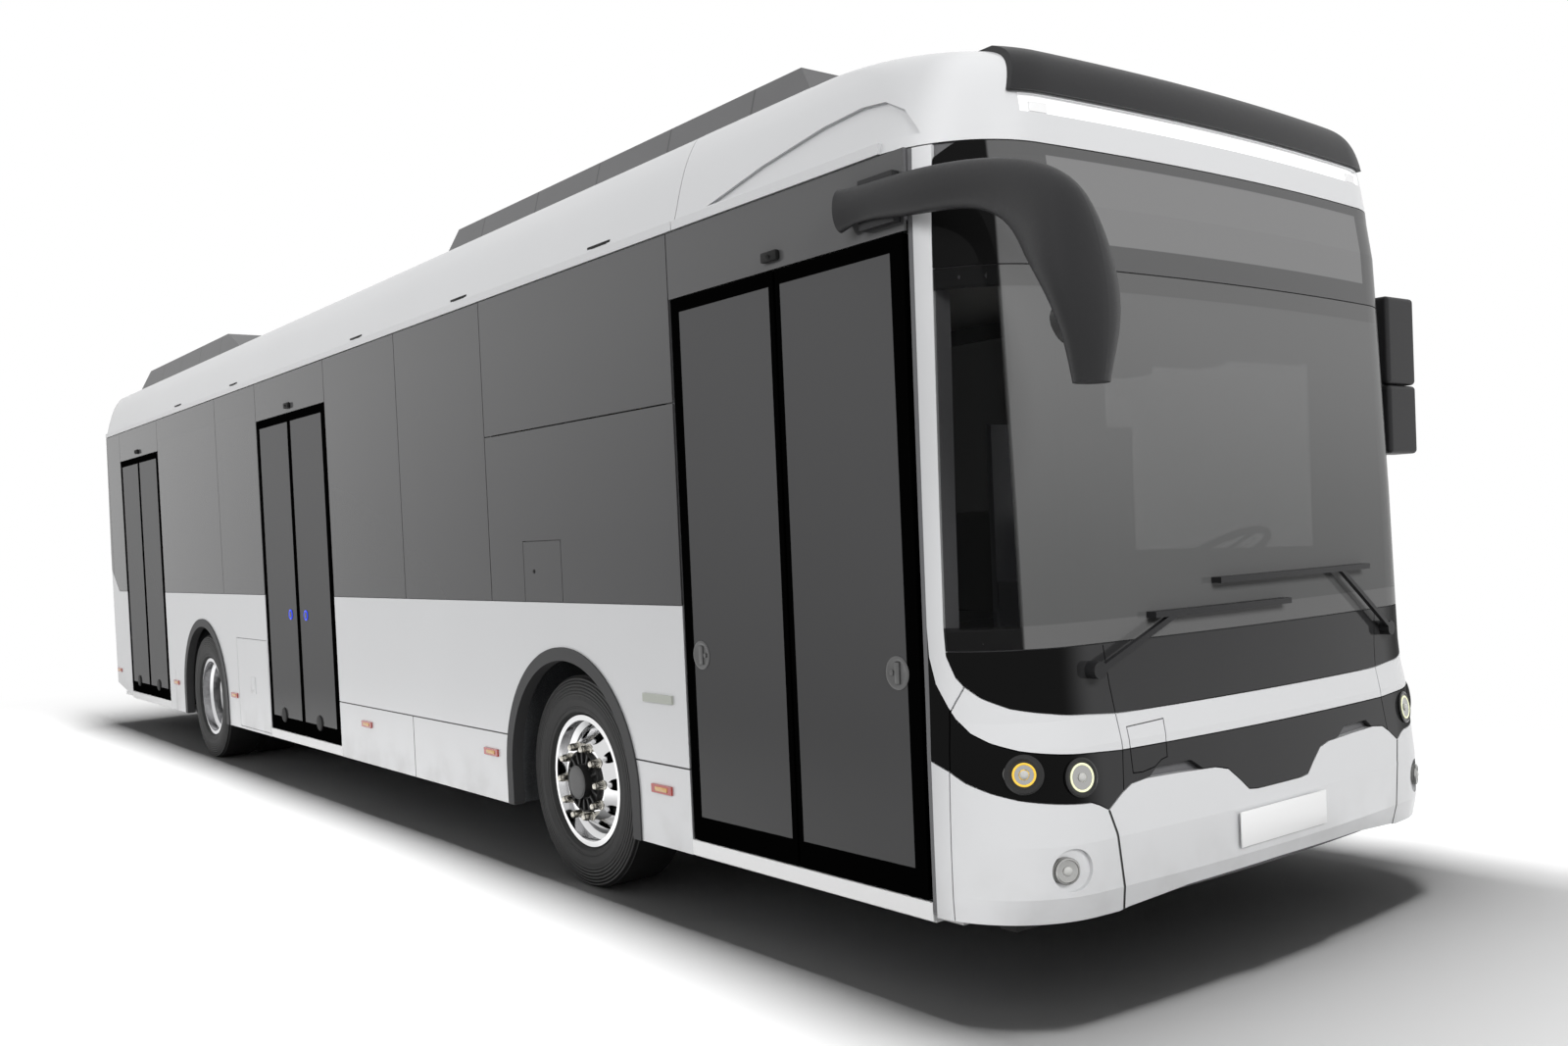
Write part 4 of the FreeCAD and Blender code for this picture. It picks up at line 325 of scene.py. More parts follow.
# Floor and wheel boxes
# The cabin floor is a grey safety covering with fine pale chips, welded up the wheel boxes;
# the three door sills end in a white plastic step edge.
SILL_INNER, SILL_TOP = -1.200, 0.3655
covering = Paint("floor_covering", roughness=0.6)
chips = covering.noise(420.0, 1.0)
_, floor_side, floor_rise = covering.axes()
sill = covering.ramp(floor_side, SILL_INNER - 0.005, SILL_INNER, 1.0, 0.0)
sill = sill * covering.ramp(floor_rise, SILL_TOP, SILL_TOP + 0.001, 1.0, 0.0)
floor_tone = covering.tint(covering.ramp(chips, 0.6, 0.68), (0.10, 0.105, 0.11), (0.32, 0.33, 0.34))
covering.shades(sill, floor_tone, (0.95, 0.95, 0.95))
covering.bump(chips, 0.25, 0.0005)
dress(covering, "floor_deck", "wheel_boxes")

# Body paint
# Wall panels, coves, roof, tail and front panels carry a fine silver-white metallic under clear lacquer.
# Fine flakes break up the gloss, road film greys the lowest edge of the skirts, dark lines of painted shade
# run along each joint between panels, the nose is painted lighter as a painted highlight, and the slot under
# the roof visor is painted white and made to glow as painted light.
SKIRT_JOINT, SPLIT_JOINT = (0.6398, 0.6462), (1.2738, 1.2802)
MIDDLE_DOOR_END, LEFT_JOINT_MORE = 0.10, 2.7
BROW_SLOT, BROW_HALF = (2.841, 2.897), 0.984
FOOT_JOINT = ((0.811, 0.309), (0.845, 0.573), (0.868, 0.647))
JOINT_HALF, JOINT_SOFT = 0.0045, 0.001
SKIRT_TOP, SIDE_SKIN, NOSE_FROM, BUMPER_FROM = 0.646, 1.25, 5.3, 5.4
# The emission serves only the slot under the roof visor, which glows as painted light.
silver = Paint("silver_paint", roughness=0.36, Metallic=0.25, Coat_Weight=0.4, Coat_Roughness=0.12,
               Emission_Strength=0.35)
side_x, side_y, side_z = silver.axes()
flakes = silver.noise(900.0, 1.0)
cloud = silver.noise(1.1, 2.0)
road_film = silver.ramp(side_z, 0.30, 0.62, 1.0, 0.0) * silver.ramp(silver.noise(6.0, 4.0), 0.35, 0.75)
fresh = silver.tint(cloud, (0.575, 0.58, 0.59), (0.61, 0.615, 0.625))
# Painted highlight: the nose and bumper are painted lighter than the sides, though the paint is the same.
painted_front_highlight = silver.ramp(side_x, 5.38, 5.50)
fresh = silver.tint(painted_front_highlight, fresh, (0.72, 0.725, 0.735))
# Painted light: the slot under the roof visor is painted white, glows, and is not metallic.
glowing_brow_slot = silver.ramp(side_x, 5.25, 5.3) * silver.within(side_z, *BROW_SLOT, JOINT_SOFT)
glowing_brow_slot = glowing_brow_slot * silver.ramp(side_y.size(), BROW_HALF, BROW_HALF + 0.002, 1.0, 0.0)
finish = silver.tint(road_film * 0.2, fresh, (0.42, 0.41, 0.39))
# Painted shade: dark lines are painted on the panels along each joint, standing in for the shade in the
# gaps.
joint_shade = silver.within(side_z, *SKIRT_JOINT, JOINT_SOFT)
joint_shade = joint_shade * (side_x > MIDDLE_DOOR_END - (side_y > 0.0) * LEFT_JOINT_MORE)
joint_shade = joint_shade + silver.within(side_x, *SPLIT_JOINT, JOINT_SOFT) * (side_z < SKIRT_TOP)
joint_shade = joint_shade * (side_y.size() > SIDE_SKIN) * (side_x < NOSE_FROM)
for (inner, foot), (outer, head) in zip(FOOT_JOINT, FOOT_JOINT[1:]):
    line = silver.node("ShaderNodeMapRange", {"interpolation_type": "LINEAR"},
                       {0: side_z, 1: foot, 2: head, 3: inner, 4: outer})
    beside = silver.within(side_y.size() - line, -JOINT_HALF, JOINT_HALF, JOINT_SOFT)
    joint_shade = joint_shade + beside * silver.within(side_z, foot, head, 0.0005) * (side_x > BUMPER_FROM)
# The lines along each joint are painted near black as painted shade.
finish = silver.tint(joint_shade.math("MINIMUM", 1.0), finish, (0.05, 0.05, 0.05))
silver.shades(glowing_brow_slot, finish, (0.96, 0.96, 0.96))
# Painted light: the slot under the roof visor glows white.
silver.set("Emission Color", silver.tint(glowing_brow_slot, (0.0, 0.0, 0.0), (1.0, 1.0, 1.0)))
silver.set("Metallic", 0.25 - glowing_brow_slot * 0.25)
silver.set("Roughness", silver.ramp(flakes, 0.3, 0.7, 0.30, 0.40) + road_film * 0.15)
silver.bump(silver.noise(55.0, 1.0), 0.04, 0.0006)
dress(silver, "lower_panels", "coves", "roof_panel", "front_dome", "rear_wall", "rear_flap", "bumper",
      "front_belt")

# Inner walls
# The wall frames are lined inside with dark grey laminate, whose edges show behind the tinted panes.
lining = Paint("wall_lining", roughness=0.5)
lining_fleck = lining.noise(300.0, 2.0)
lining.shades(lining_fleck, (0.10, 0.10, 0.105), (0.14, 0.14, 0.145))
lining.bump(lining_fleck, 0.1, 0.0004)
dress(lining, "side_wall_right", "side_wall_left", "front_frame")

# Ceiling
# Ceiling panels are washable off-white boards with a faint orange-peel skin.
board = Paint("ceiling_board", roughness=0.45)
board_peel = board.noise(220.0, 2.0)
board.shades(board_peel, (0.60, 0.59, 0.56), (0.66, 0.65, 0.62))
board.bump(board_peel, 0.15, 0.0004)
dress(board, "ceiling")

# Side glazing
# Flush bonded panes of dark tinted glass run the whole length above the belt, a little paler towards
# the top; only the pane beside the driver is clear.
DRIVER_PANE, DRIVER_PANE_HEIGHT = (4.03, 5.2), (1.34, 2.42)
charcoal = Paint("side_glass", (0.085, 0.085, 0.088), 0.14, IOR=1.5, Specular_IOR_Level=0.3)
pane_x, pane_y, pane_z = charcoal.axes()
glass_wave = charcoal.noise(1.3, 1.0, (1.0, 1.0, 0.5))
glass_rise = charcoal.ramp(pane_z, 1.2, 2.8)
lower_tone = charcoal.tint(glass_wave, (0.066, 0.066, 0.068), (0.074, 0.074, 0.076))
charcoal.shades(glass_rise, lower_tone, (0.112, 0.112, 0.114))
charcoal.polish(14.0, 3.0, 0.10, 0.16)
beside_driver = charcoal.within(pane_x, *DRIVER_PANE) * charcoal.ramp(pane_y, 0.0, 0.1)
beside_driver = beside_driver * charcoal.within(pane_z, *DRIVER_PANE_HEIGHT)
charcoal.see_through(0.08 + beside_driver * 0.8)
dress(charcoal, "window_glass", "charge_flap")

# Windscreen and sign glass
# One deep curved screen with a black printed border, and the tinted pane of the route sign over it.
# A pale painted reflection lies on the broad part, paler towards the top, and the corner that wraps
# round to the doors is painted near black as painted shade, on the sign pane too.
REFLECTION_END = -1.105
BORDER_TOP, BORDER_FOOT, BORDER_FAR = 2.285, 1.235, 1.165
SIGN_HALF, SIGN_HEIGHT = 0.90, (2.44, 2.705)
SHADE_BLACK = (0.006, 0.006, 0.006)


def corner_in_shade(paint, along):
    """1 on the corner that wraps round to the doors, past the end of the painted reflection, where painted
    shade goes.
    """
    return paint.ramp(along, REFLECTION_END, REFLECTION_END + 0.010, 1.0, 0.0)


screen = Paint("screen_glass", (0.03, 0.032, 0.033), 0.05, IOR=1.5, Specular_IOR_Level=0.0,
               Coat_Roughness=0.04)
_, screen_y, screen_z = screen.axes()
edge_top = screen.ramp(screen_z, BORDER_TOP, BORDER_TOP + 0.005)
edge_foot = screen.ramp(screen_z, BORDER_FOOT, BORDER_FOOT + 0.005, 1.0, 0.0)
kerb_corner_shade = corner_in_shade(screen, screen_y)
far_edge = screen.ramp(screen_y, BORDER_FAR, BORDER_FAR + 0.005)
border = edge_top.math("MAXIMUM", edge_foot).math("MAXIMUM", far_edge)
# Painted reflection: the broad part is painted pale, paler towards the top, and the printed border takes an
# even grey.
painted_reflection = screen.tint(screen.ramp(screen_z, 1.2, 2.3), (0.125, 0.126, 0.126), (0.20, 0.201, 0.201))
painted_reflection = screen.tint(border, painted_reflection, (0.135, 0.135, 0.135))
screen.set("Coat Weight", 0.45 - kerb_corner_shade * 0.3)
# Painted shade: the corner towards the doors is painted near black.
screen.shades(kerb_corner_shade, painted_reflection, SHADE_BLACK)
screen.polish(5.0, 2.0, 0.04, 0.08)
clear_share = (1.0 - border) * (0.18 + kerb_corner_shade * 0.6) + border * kerb_corner_shade * 0.4
screen.see_through(clear_share)
dress(screen, "windscreen")
sign = Paint("sign_glass", (0.04, 0.04, 0.042), 0.06, IOR=1.5, Specular_IOR_Level=0.0,
             Coat_Roughness=0.05)
_, sign_y, sign_z = sign.axes()
sign_window = sign.within(sign_y, -SIGN_HALF, SIGN_HALF, 0.004) * sign.within(sign_z, *SIGN_HEIGHT, 0.004)
sign_corner_shade = corner_in_shade(sign, sign_y)
sign_tone = sign.tint(sign_window, (0.115, 0.115, 0.116), (0.245, 0.245, 0.246))
sign.set("Coat Weight", 0.45 - sign_corner_shade * 0.35)
# Painted shade: the sign pane's corner towards the doors is painted near black.
sign.shades(sign_corner_shade, sign_tone, SHADE_BLACK)
sign.polish(5.0, 2.0, 0.04, 0.08)
sign.see_through(0.08 * sign_window)
dress(sign, "destination_glass")

# Dark panels of the front
# The panel under the screen and the lamp band are piano-black mouldings; the broad middle one
# carries the same pale painted reflection as the screen, and the corner towards the doors is painted
# near black as painted shade.
CORNER_SHADE_SPAN = (0.86, 1.0)
piano = Paint("gloss_black", (0.018, 0.018, 0.019), 0.14, Specular_IOR_Level=0.0, Coat_Roughness=0.08)
_, piano_y, _ = piano.axes()
piano_corner_shade = piano.ramp(piano_y.size(), *CORNER_SHADE_SPAN)
# Painted reflection: the middle is painted lighter than the black of the moulding.
piano_reflection = piano.tint(piano.noise(2.0, 2.0), (0.030, 0.030, 0.031), (0.036, 0.036, 0.037))
# Painted shade: the corner towards the doors is painted near black.
piano.shades(piano_corner_shade, piano_reflection, (0.003, 0.003, 0.003))
piano.set("Coat Weight", 0.5 - piano_corner_shade * 0.36)
piano.polish(7.0, 3.0, 0.12, 0.2)
dress(piano, "front_black_panels")

# Lamps
# Lamp bodies are clear polycarbonate. Side markers have a red frame round an amber lens, the tail
# lamps are red with an amber one between, and the markers on the roof edge are milk white.
SIDE_LENS, TAIL_LENS, BROW_LENS = 1.2725, -5.95, 2.82
TURN_HEIGHT, TAIL_AMBER_HEIGHT = (0.86, 0.96), (0.80, 0.93)
LENS_FLUTES, MARKER_FLUTES = 900.0, 700.0
lens = Paint("lamp_lens", (0.8, 0.8, 0.78), 0.1, Coat_Weight=0.4)
lens_x, lens_y, lens_z = lens.axes()
lens_side = lens.ramp(lens_y.size(), SIDE_LENS, SIDE_LENS + 0.001)
marker_low = lens_side * lens.ramp(lens_z, 0.60, 0.62, 1.0, 0.0)
tail = lens.ramp(lens_x, TAIL_LENS, TAIL_LENS + 0.01, 1.0, 0.0)
tail_amber = tail * lens.within(lens_z, *TAIL_AMBER_HEIGHT)
brow_white = lens.ramp(lens_z, BROW_LENS, BROW_LENS + 0.01) * lens.ramp(lens_x, 5.2, 5.3)
front_lens = lens.ramp(lens_x, 5.4, 5.45) * lens.ramp(lens_z, 1.2, 1.3, 1.0, 0.0)
lens_tone = lens.tint(front_lens, (0.62, 0.62, 0.60), (0.20, 0.20, 0.19))
turn_lamp = lens_side * lens.within(lens_z, *TURN_HEIGHT)
lens_tone = lens.tint(turn_lamp, lens_tone, (0.40, 0.42, 0.37))
lens_tone = lens.tint(marker_low.math("MAXIMUM", tail), lens_tone, (0.40, 0.025, 0.015))
lens_tone = lens.tint(tail_amber, lens_tone, (0.62, 0.20, 0.01))
lens.shades(brow_white, lens_tone, (0.94, 0.94, 0.94))
lens.bump((lens_x * LENS_FLUTES).math("SINE", 0.0), 0.2, 0.0006)
dress(lens, "lamps")


def turned(centre, axis, profile, sides=32):
    """A turned solid: a disc drawn out along its axis through steps of radius and reach."""
    deselect()
    axis = Vector(axis).normalized()
    centre = Vector(centre)
    radius, reach = profile[0]
    bpy.ops.mesh.primitive_circle_add(vertices=sides, radius=radius, fill_type="NGON",
                                      location=centre + axis * reach,
                                      rotation=axis.to_track_quat("Z", "Y").to_euler())
    bpy.ops.object.mode_set(mode="EDIT")
    bpy.ops.mesh.select_all(action="SELECT")
    for wide, out in profile[1:]:
        bpy.ops.mesh.extrude_region_move(TRANSFORM_OT_translate={"value": axis * (out - reach)})
        bpy.ops.transform.resize(value=(wide / radius,) * 3, center_override=centre + axis * out)
        radius, reach = wide, out
    bpy.ops.mesh.select_all(action="SELECT")
    bpy.ops.mesh.normals_make_consistent(inside=False)
    bpy.ops.object.mode_set(mode="OBJECT")
    bpy.ops.object.transform_apply(location=True, rotation=True, scale=True)
    return bpy.context.object


def slab(low, high, edge, steps=2):
    """A block between two corners with its edges rounded."""
    deselect()
    low, high = Vector(low), Vector(high)
    bpy.ops.mesh.primitive_cube_add(size=1.0, location=(low + high) / 2, scale=high - low)
    bpy.ops.object.transform_apply(location=True, rotation=True, scale=True)
    bpy.ops.object.mode_set(mode="EDIT")
    bpy.ops.mesh.select_all(action="SELECT")
    bpy.ops.mesh.bevel(offset=edge, segments=steps, affect="EDGES")
    bpy.ops.object.mode_set(mode="OBJECT")
    return bpy.context.object


def copied(piece, change):
    """Another of the piece with its own mesh, moved, turned or mirrored by a matrix."""
    twin = piece.copy()
    twin.data = piece.data.copy()
    bpy.context.scene.collection.objects.link(twin)
    twin.data.transform(change)
    if change.determinant() < 0:
        twin.data.flip_normals()
    return twin


def fitted(name, paint, parts, body="body", smooth=35.0):
    """Joins the parts to one piece with its finish, riding on a body."""
    deselect()
    for part in parts:
        part.select_set(True)
    bpy.context.view_layer.objects.active = parts[0]
    if len(parts) > 1:
        bpy.ops.object.join()
    piece = bpy.context.object
    piece.name = piece.data.name = name
    bpy.ops.object.shade_smooth_by_angle(angle=math.radians(smooth))
    piece.data.materials.clear()
    piece.data.materials.append(paint.material)
    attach(piece, body)
    return piece


def seat_on(name, start, direction):
    """Point and outward normal where a straight line first meets a frame node."""
    met, spot, normal, _ = nodes[name].ray_cast(Vector(start), Vector(direction).normalized())
    if not met:
        raise RuntimeError(f"nothing of {name} in that line")
    return spot, -normal if normal.dot(Vector(direction)) > 0 else normal


def nose_seat(name, across, height):
    """Point and outward normal of a frame node as seen from ahead, to the right of the middle."""
    return seat_on(name, (AHEAD_OF_NOSE, -across, height), (-1.0, 0.0, 0.0))


def kerb_seat(name, along, height):
    """Point of a frame node as seen from the kerb side."""
    return seat_on(name, (along, BESIDE_KERB, height), (0.0, 1.0, 0.0))[0]


MIRRORED = Matrix.Scale(-1.0, 4, (0.0, 1.0, 0.0))
AHEAD_OF_NOSE, BESIDE_KERB = 6.6, -2.0
gloss = Paint("bezel_black", (0.012, 0.012, 0.012), 0.18, Specular_IOR_Level=0.4)
gloss.polish(30.0, 2.0, 0.14, 0.24)
chrome = Paint("reflector_chrome", (0.42, 0.42, 0.41), 0.12, Metallic=1.0)
chrome.polish(60.0, 2.0, 0.08, 0.2)
amber_glow = Paint("light_ring_amber", (0.85, 0.55, 0.06), 0.3, Emission_Strength=0.35)
amber_glow.glow(50.0, (0.85, 0.50, 0.04), (0.9, 0.62, 0.1))
pale_glow = Paint("light_ring_pale", (0.90, 0.92, 0.62), 0.3, Emission_Strength=0.4)
pale_glow.glow(50.0, (0.86, 0.9, 0.5), (0.93, 0.95, 0.7))
bulb = Paint("bulb_glass", (0.6, 0.6, 0.58), 0.06, Coat_Weight=0.5)
bulb.shades(bulb.noise(120.0), (0.50, 0.50, 0.48), (0.64, 0.64, 0.62))

OUTER_LAMP, INNER_LAMP, FOG_LAMP = (1.136, 0.785), (0.968, 0.762), (1.045, 0.484)
OUTER_RING, INNER_RING = 0.031, 0.039
LAMP_PROUD, FOG_PROUD = 0.0025, 0.0015
BEZEL_PROFILE = ((0.060, -0.012), (0.062, 0.002), (0.056, 0.005), (0.047, 0.0035), (0.044, 0.001))
BULB_PROFILE = ((0.014, 0.002), (0.014, 0.005), (0.011, 0.0085), (0.006, 0.0105), (0.002, 0.011))
FOG_PROFILE = ((0.041, -0.002), (0.041, 0.004), (0.036, 0.006), (0.034, 0.003), (0.018, 0.0015),
               (0.016, 0.0015))
FOG_BULB_PROFILE = ((0.015, 0.001), (0.015, 0.005), (0.011, 0.009), (0.003, 0.0108))
bezels, ring_amber, ring_pale, reflectors, bulbs = [], [], [], [], []
for lamp, ring, rings in ((OUTER_LAMP, OUTER_RING, ring_amber), (INNER_LAMP, INNER_RING, ring_pale)):
    spot, out = nose_seat("lamps", *lamp)
    spot += out * LAMP_PROUD
    bezels.append(turned(spot, out, BEZEL_PROFILE, 40))
    rings.append(turned(spot, out, ((ring + 0.006, 0.001), (ring + 0.006, 0.0045), (ring + 0.003, 0.006),
                                    (ring, 0.0045), (ring, 0.0022)), 40))
    reflectors.append(turned(spot, out, ((ring - 0.001, 0.0015), (ring - 0.001, 0.004), (0.017, 0.0022),
                                         (0.015, 0.0022)), 32))
    bulbs.append(turned(spot, out, BULB_PROFILE, 24))
spot, out = nose_seat("lamps", *FOG_LAMP)
spot += out * FOG_PROUD
reflectors.append(turned(spot, out, FOG_PROFILE, 40))
bulbs.append(turned(spot, out, FOG_BULB_PROFILE, 24))
for name, paint, slot, parts in (("lamp_bezels", gloss, "black_panel", bezels),
                                 ("light_rings_outer", amber_glow, "lamp_lens", ring_amber),
                                 ("light_rings_inner", pale_glow, "lamp_lens", ring_pale),
                                 ("lamp_reflectors", chrome, "lamp_lens", reflectors),
                                 ("lamp_bulbs", bulb, "lamp_lens", bulbs)):
    fitted(name, paint, parts + [copied(part, MIRRORED) for part in parts])

MARKERS, MARKER_HEIGHT = (3.82, 2.25, 0.585, -2.06, -3.70, -5.77), 0.540
MARKER_HALF, MARKER_HALF_HIGH = 0.045, 0.009
amber = Paint("marker_amber", (0.72, 0.42, 0.10), 0.25, Coat_Weight=0.3)
amber_x = amber.axes()[0]
amber.shades(amber.noise(40.0), (0.60, 0.30, 0.07), (0.74, 0.50, 0.20))
amber.bump((amber_x * MARKER_FLUTES).math("SINE", 0.0), 0.3, 0.001)
markers = []
for along in MARKERS:
    spot = kerb_seat("lamps", along, MARKER_HEIGHT)
    markers.append(slab((along - MARKER_HALF, spot.y - 0.0025, MARKER_HEIGHT - MARKER_HALF_HIGH),
                        (along + MARKER_HALF, spot.y + 0.002, MARKER_HEIGHT + MARKER_HALF_HIGH), 0.001))
fitted("marker_inserts", amber, markers)

# Trim
# Mirrors, wipers, the visor and the steering wheel are grained black plastic and rubber,
# and the dashboard and the arch mouldings are dark grey ones with a coarser grain.
grained = Paint("grained_plastic", (0.028, 0.028, 0.029), 0.46, Specular_IOR_Level=0.3)
grain = grained.noise(520.0, 3.0)
grained.shades(grain, (0.011, 0.011, 0.012), (0.019, 0.019, 0.020))
grained.set("Roughness", grained.ramp(grain, 0.3, 0.7, 0.40, 0.54))
grained.bump(grain, 0.12, 0.0004)
dress(grained, "mirrors", "wipers", "roof_visor", "steering_wheel")
dash_skin = Paint("dash_skin", (0.10, 0.10, 0.10), 0.55)
dash_grain = dash_skin.noise(380.0, 3.0)
dash_skin.shades(dash_grain, (0.085, 0.085, 0.087), (0.12, 0.12, 0.122))
dash_skin.bump(dash_grain, 0.15, 0.0005)
dress(dash_skin, "dashboard")
moulding = Paint("arch_moulding", (0.06, 0.06, 0.061), 0.6, Specular_IOR_Level=0.3)
moulding_grain = moulding.noise(380.0, 3.0)
moulding.shades(moulding_grain, (0.036, 0.036, 0.037), (0.050, 0.050, 0.051))
moulding.bump(moulding_grain, 0.12, 0.0004)
dress(moulding, "arch_flares")

# Mirror glasses
# Silvered plates are bonded in thin black rims: two flat ones in the rear faces of the left head,
# and a small round one in the moulded head on the kerb side.
FLAT_GLASS_SIDES, FLAT_GLASS_HEIGHTS = (1.325, 1.495), ((1.80, 2.045), (2.095, 2.415))
BEHIND_FLAT_GLASS, BEHIND_ROUND_GLASS = 4.2, (5.45, -1.32, 2.09)
RIM_WIDE = 0.006
ROUND_RIM_PROFILE = ((0.054, -0.030), (0.060, 0.008), (0.0575, 0.012), (0.051, 0.009))
ROUND_GLASS_PROFILE = ((0.0515, 0.006), (0.0515, 0.0095), (0.035, 0.0112), (0.012, 0.0118))
FORWARD = (1.0, 0.0, 0.0)
silvered = Paint("mirror_silver", (0.82, 0.84, 0.86), 0.03, Metallic=1.0)
silvered.polish(9.0, 3.0, 0.02, 0.05)
plates, rims = [], []
inner, outer = FLAT_GLASS_SIDES
for foot, head in FLAT_GLASS_HEIGHTS:
    spot, _ = seat_on("mirrors", (BEHIND_FLAT_GLASS, (inner + outer) / 2, (foot + head) / 2), FORWARD)
    rims.append(slab((spot.x - 0.004, inner - RIM_WIDE, foot - RIM_WIDE),
                     (spot.x + 0.002, outer + RIM_WIDE, head + RIM_WIDE), 0.0025))
    plates.append(slab((spot.x - 0.0055, inner, foot), (spot.x - 0.002, outer, head), 0.0012))
spot, out = seat_on("mirrors", BEHIND_ROUND_GLASS, FORWARD)
rims.append(turned(spot, out, ROUND_RIM_PROFILE, 48))
plates.append(turned(spot, out, ROUND_GLASS_PROFILE, 48))
fitted("mirror_glasses", silvered, plates)
fitted("mirror_rims", gloss, rims)

# Number plate
# A blank white plate stands on its black holder at the middle of the bumper.
PLATE_HEIGHT = 0.49
PLATE_HALF, PLATE_HALF_HIGH = 0.26, 0.060
HOLDER_HALF, HOLDER_HALF_HIGH = 0.20, 0.050
blank = Paint("plate_white", (0.9, 0.9, 0.9), 0.35, Coat_Weight=0.2)
blank.shades(blank.noise(5.0), (0.95, 0.95, 0.95), (0.97, 0.97, 0.97))
spot, _ = nose_seat("bumper", 0.0, PLATE_HEIGHT)
holder_block = slab((spot.x - 0.012, -HOLDER_HALF, PLATE_HEIGHT - HOLDER_HALF_HIGH),
                    (spot.x + 0.007, HOLDER_HALF, PLATE_HEIGHT + HOLDER_HALF_HIGH), 0.003)
plate = slab((spot.x + 0.0065, -PLATE_HALF, PLATE_HEIGHT - PLATE_HALF_HIGH),
             (spot.x + 0.0125, PLATE_HALF, PLATE_HEIGHT + PLATE_HALF_HIGH), 0.0025)
fitted("plate_holder", grained, [holder_block])
fitted("number_plate", blank, [plate])

# Roof housings
# Battery and climate housings on the roof are pressed grey covers with a dark joint at each lid.
LID_WAVE, LID_JOINT = 5.2, 0.03
cover = Paint("pod_cover", roughness=0.45)
cover_tone = cover.noise(3.0, 3.0)
cover_x, _, _ = cover.axes()
lids = (cover_x * LID_WAVE).math("SINE", 0.0).size() < LID_JOINT
cover_shade = cover.tint(cover_tone, (0.086, 0.086, 0.088), (0.108, 0.108, 0.111))
cover.shades(lids, cover_shade, (0.045, 0.045, 0.046))
cover.bump(cover.noise(300.0, 2.0), 0.1, 0.0005)
dress(cover, "roof_pods")

# Doors
# Each leaf is a bonded sheet of tinted glass in a slim black frame.
DOORS = ("front", "middle", "rear")
FRAME_WIDE, FRAME_SLIM, FRAME_FOOT, FRAME_HEAD = 0.058, 0.027, 0.100, 0.061
for name in [f"door_{door}_leaf_{letter}" for door in DOORS for letter in "ab"]:
    low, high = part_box(name)
    leaf = Paint(f"{name}_finish", (0.02, 0.02, 0.02), 0.2, IOR=1.5, Specular_IOR_Level=0.0,
                 Coat_Roughness=0.08)
    leaf_x, _, leaf_z = leaf.axes()
    second = name.endswith("b")
    left, right = (FRAME_SLIM, FRAME_WIDE) if second else (FRAME_WIDE, FRAME_SLIM)
    pane = leaf.within(leaf_x, low.x + left, high.x - right)
    pane = pane * leaf.within(leaf_z, low.z + FRAME_FOOT, high.z - FRAME_HEAD)
    fade = leaf.ramp(leaf_z + (leaf_x - low.x) * 0.6, low.z, high.z + 0.3)
    tone = leaf.tint(fade, (0.052, 0.052, 0.053), (0.086, 0.086, 0.088))
    leaf.shades(pane, (0.0012, 0.0012, 0.0012), tone)
    leaf.set("Roughness", leaf.ramp(pane, 0.0, 1.0, 0.6, 0.2))
    leaf.set("Coat Weight", pane * 0.4)
    leaf.see_through(pane * 0.06)
    dress(leaf, name)
arm_paint = Paint("arm_steel", (0.33, 0.34, 0.35), 0.4, Metallic=0.6)
arm_paint.set("Roughness", arm_paint.ramp(arm_paint.noise(60.0, 3.0), 0.3, 0.7, 0.32, 0.5))
dress(arm_paint, *[f"door_{door}_arm_{letter}" for door in DOORS for letter in "ab"])

# Door fittings
# The front leaves have round pull cups with locks, the middle ones push buttons in lit rings, and the
# middle and rear ones rubber bump stops at their feet. A sensor looks down over each door.
PULL_CUPS, LOCK_ASIDE = (("a", 4.148, 1.10), ("b", 5.272, 1.09)), 0.026
GRIP_HALF, GRIP_HALF_HIGH = 0.012, 0.036
CUP_PROFILE = ((0.055, -0.001), (0.055, 0.002), (0.051, 0.004), (0.045, 0.0035), (0.040, 0.001))
LOCK_PROFILE = ((0.009, 0.0), (0.009, 0.005), (0.007, 0.006), (0.003, 0.006))
PUSH_BUTTONS, BUTTON_HEIGHT = (("a", -0.694), ("b", -0.395)), 1.164
RING_PROFILE = ((0.034, -0.001), (0.034, 0.004), (0.030, 0.006), (0.025, 0.004), (0.025, 0.001))
BUTTON_PROFILE = ((0.021, 0.0), (0.021, 0.004), (0.018, 0.0055), (0.004, 0.006))
BUMP_STOPS, STOP_HEIGHT, MIDDLE_TO_REAR = (("a", -0.927), ("b", -0.233)), 0.48, -4.07
STOP_PROFILE = ((0.050, -0.001), (0.050, 0.004), (0.044, 0.009), (0.018, 0.011))
SENSORS, SENSOR_HEIGHT = (("front", 4.704), ("middle", -0.532), ("rear", -4.616)), 2.53
SENSOR_HALF, SENSOR_HALF_HIGH, SENSOR_DEEP = 0.046, 0.018, 0.020
EYE_PROFILE = ((0.012, 0.0), (0.012, 0.006), (0.006, 0.009))
cup_grey = Paint("pull_cup", (0.10, 0.10, 0.10), 0.35, Metallic=0.3)
cup_grey.polish(90.0, 3.0, 0.3, 0.45)
ring_blue = Paint("button_ring_blue", (0.02, 0.06, 0.75), 0.3, Emission_Strength=0.5)
ring_blue.glow(60.0, (0.01, 0.03, 0.62), (0.03, 0.07, 0.8))
stop_rubber = Paint("stop_rubber", (0.01, 0.01, 0.01), 0.6, Specular_IOR_Level=0.2)
stop_rubber.bump(stop_rubber.noise(300.0), 0.2, 0.0004)
OUTWARD = Vector((0.0, -1.0, 0.0))
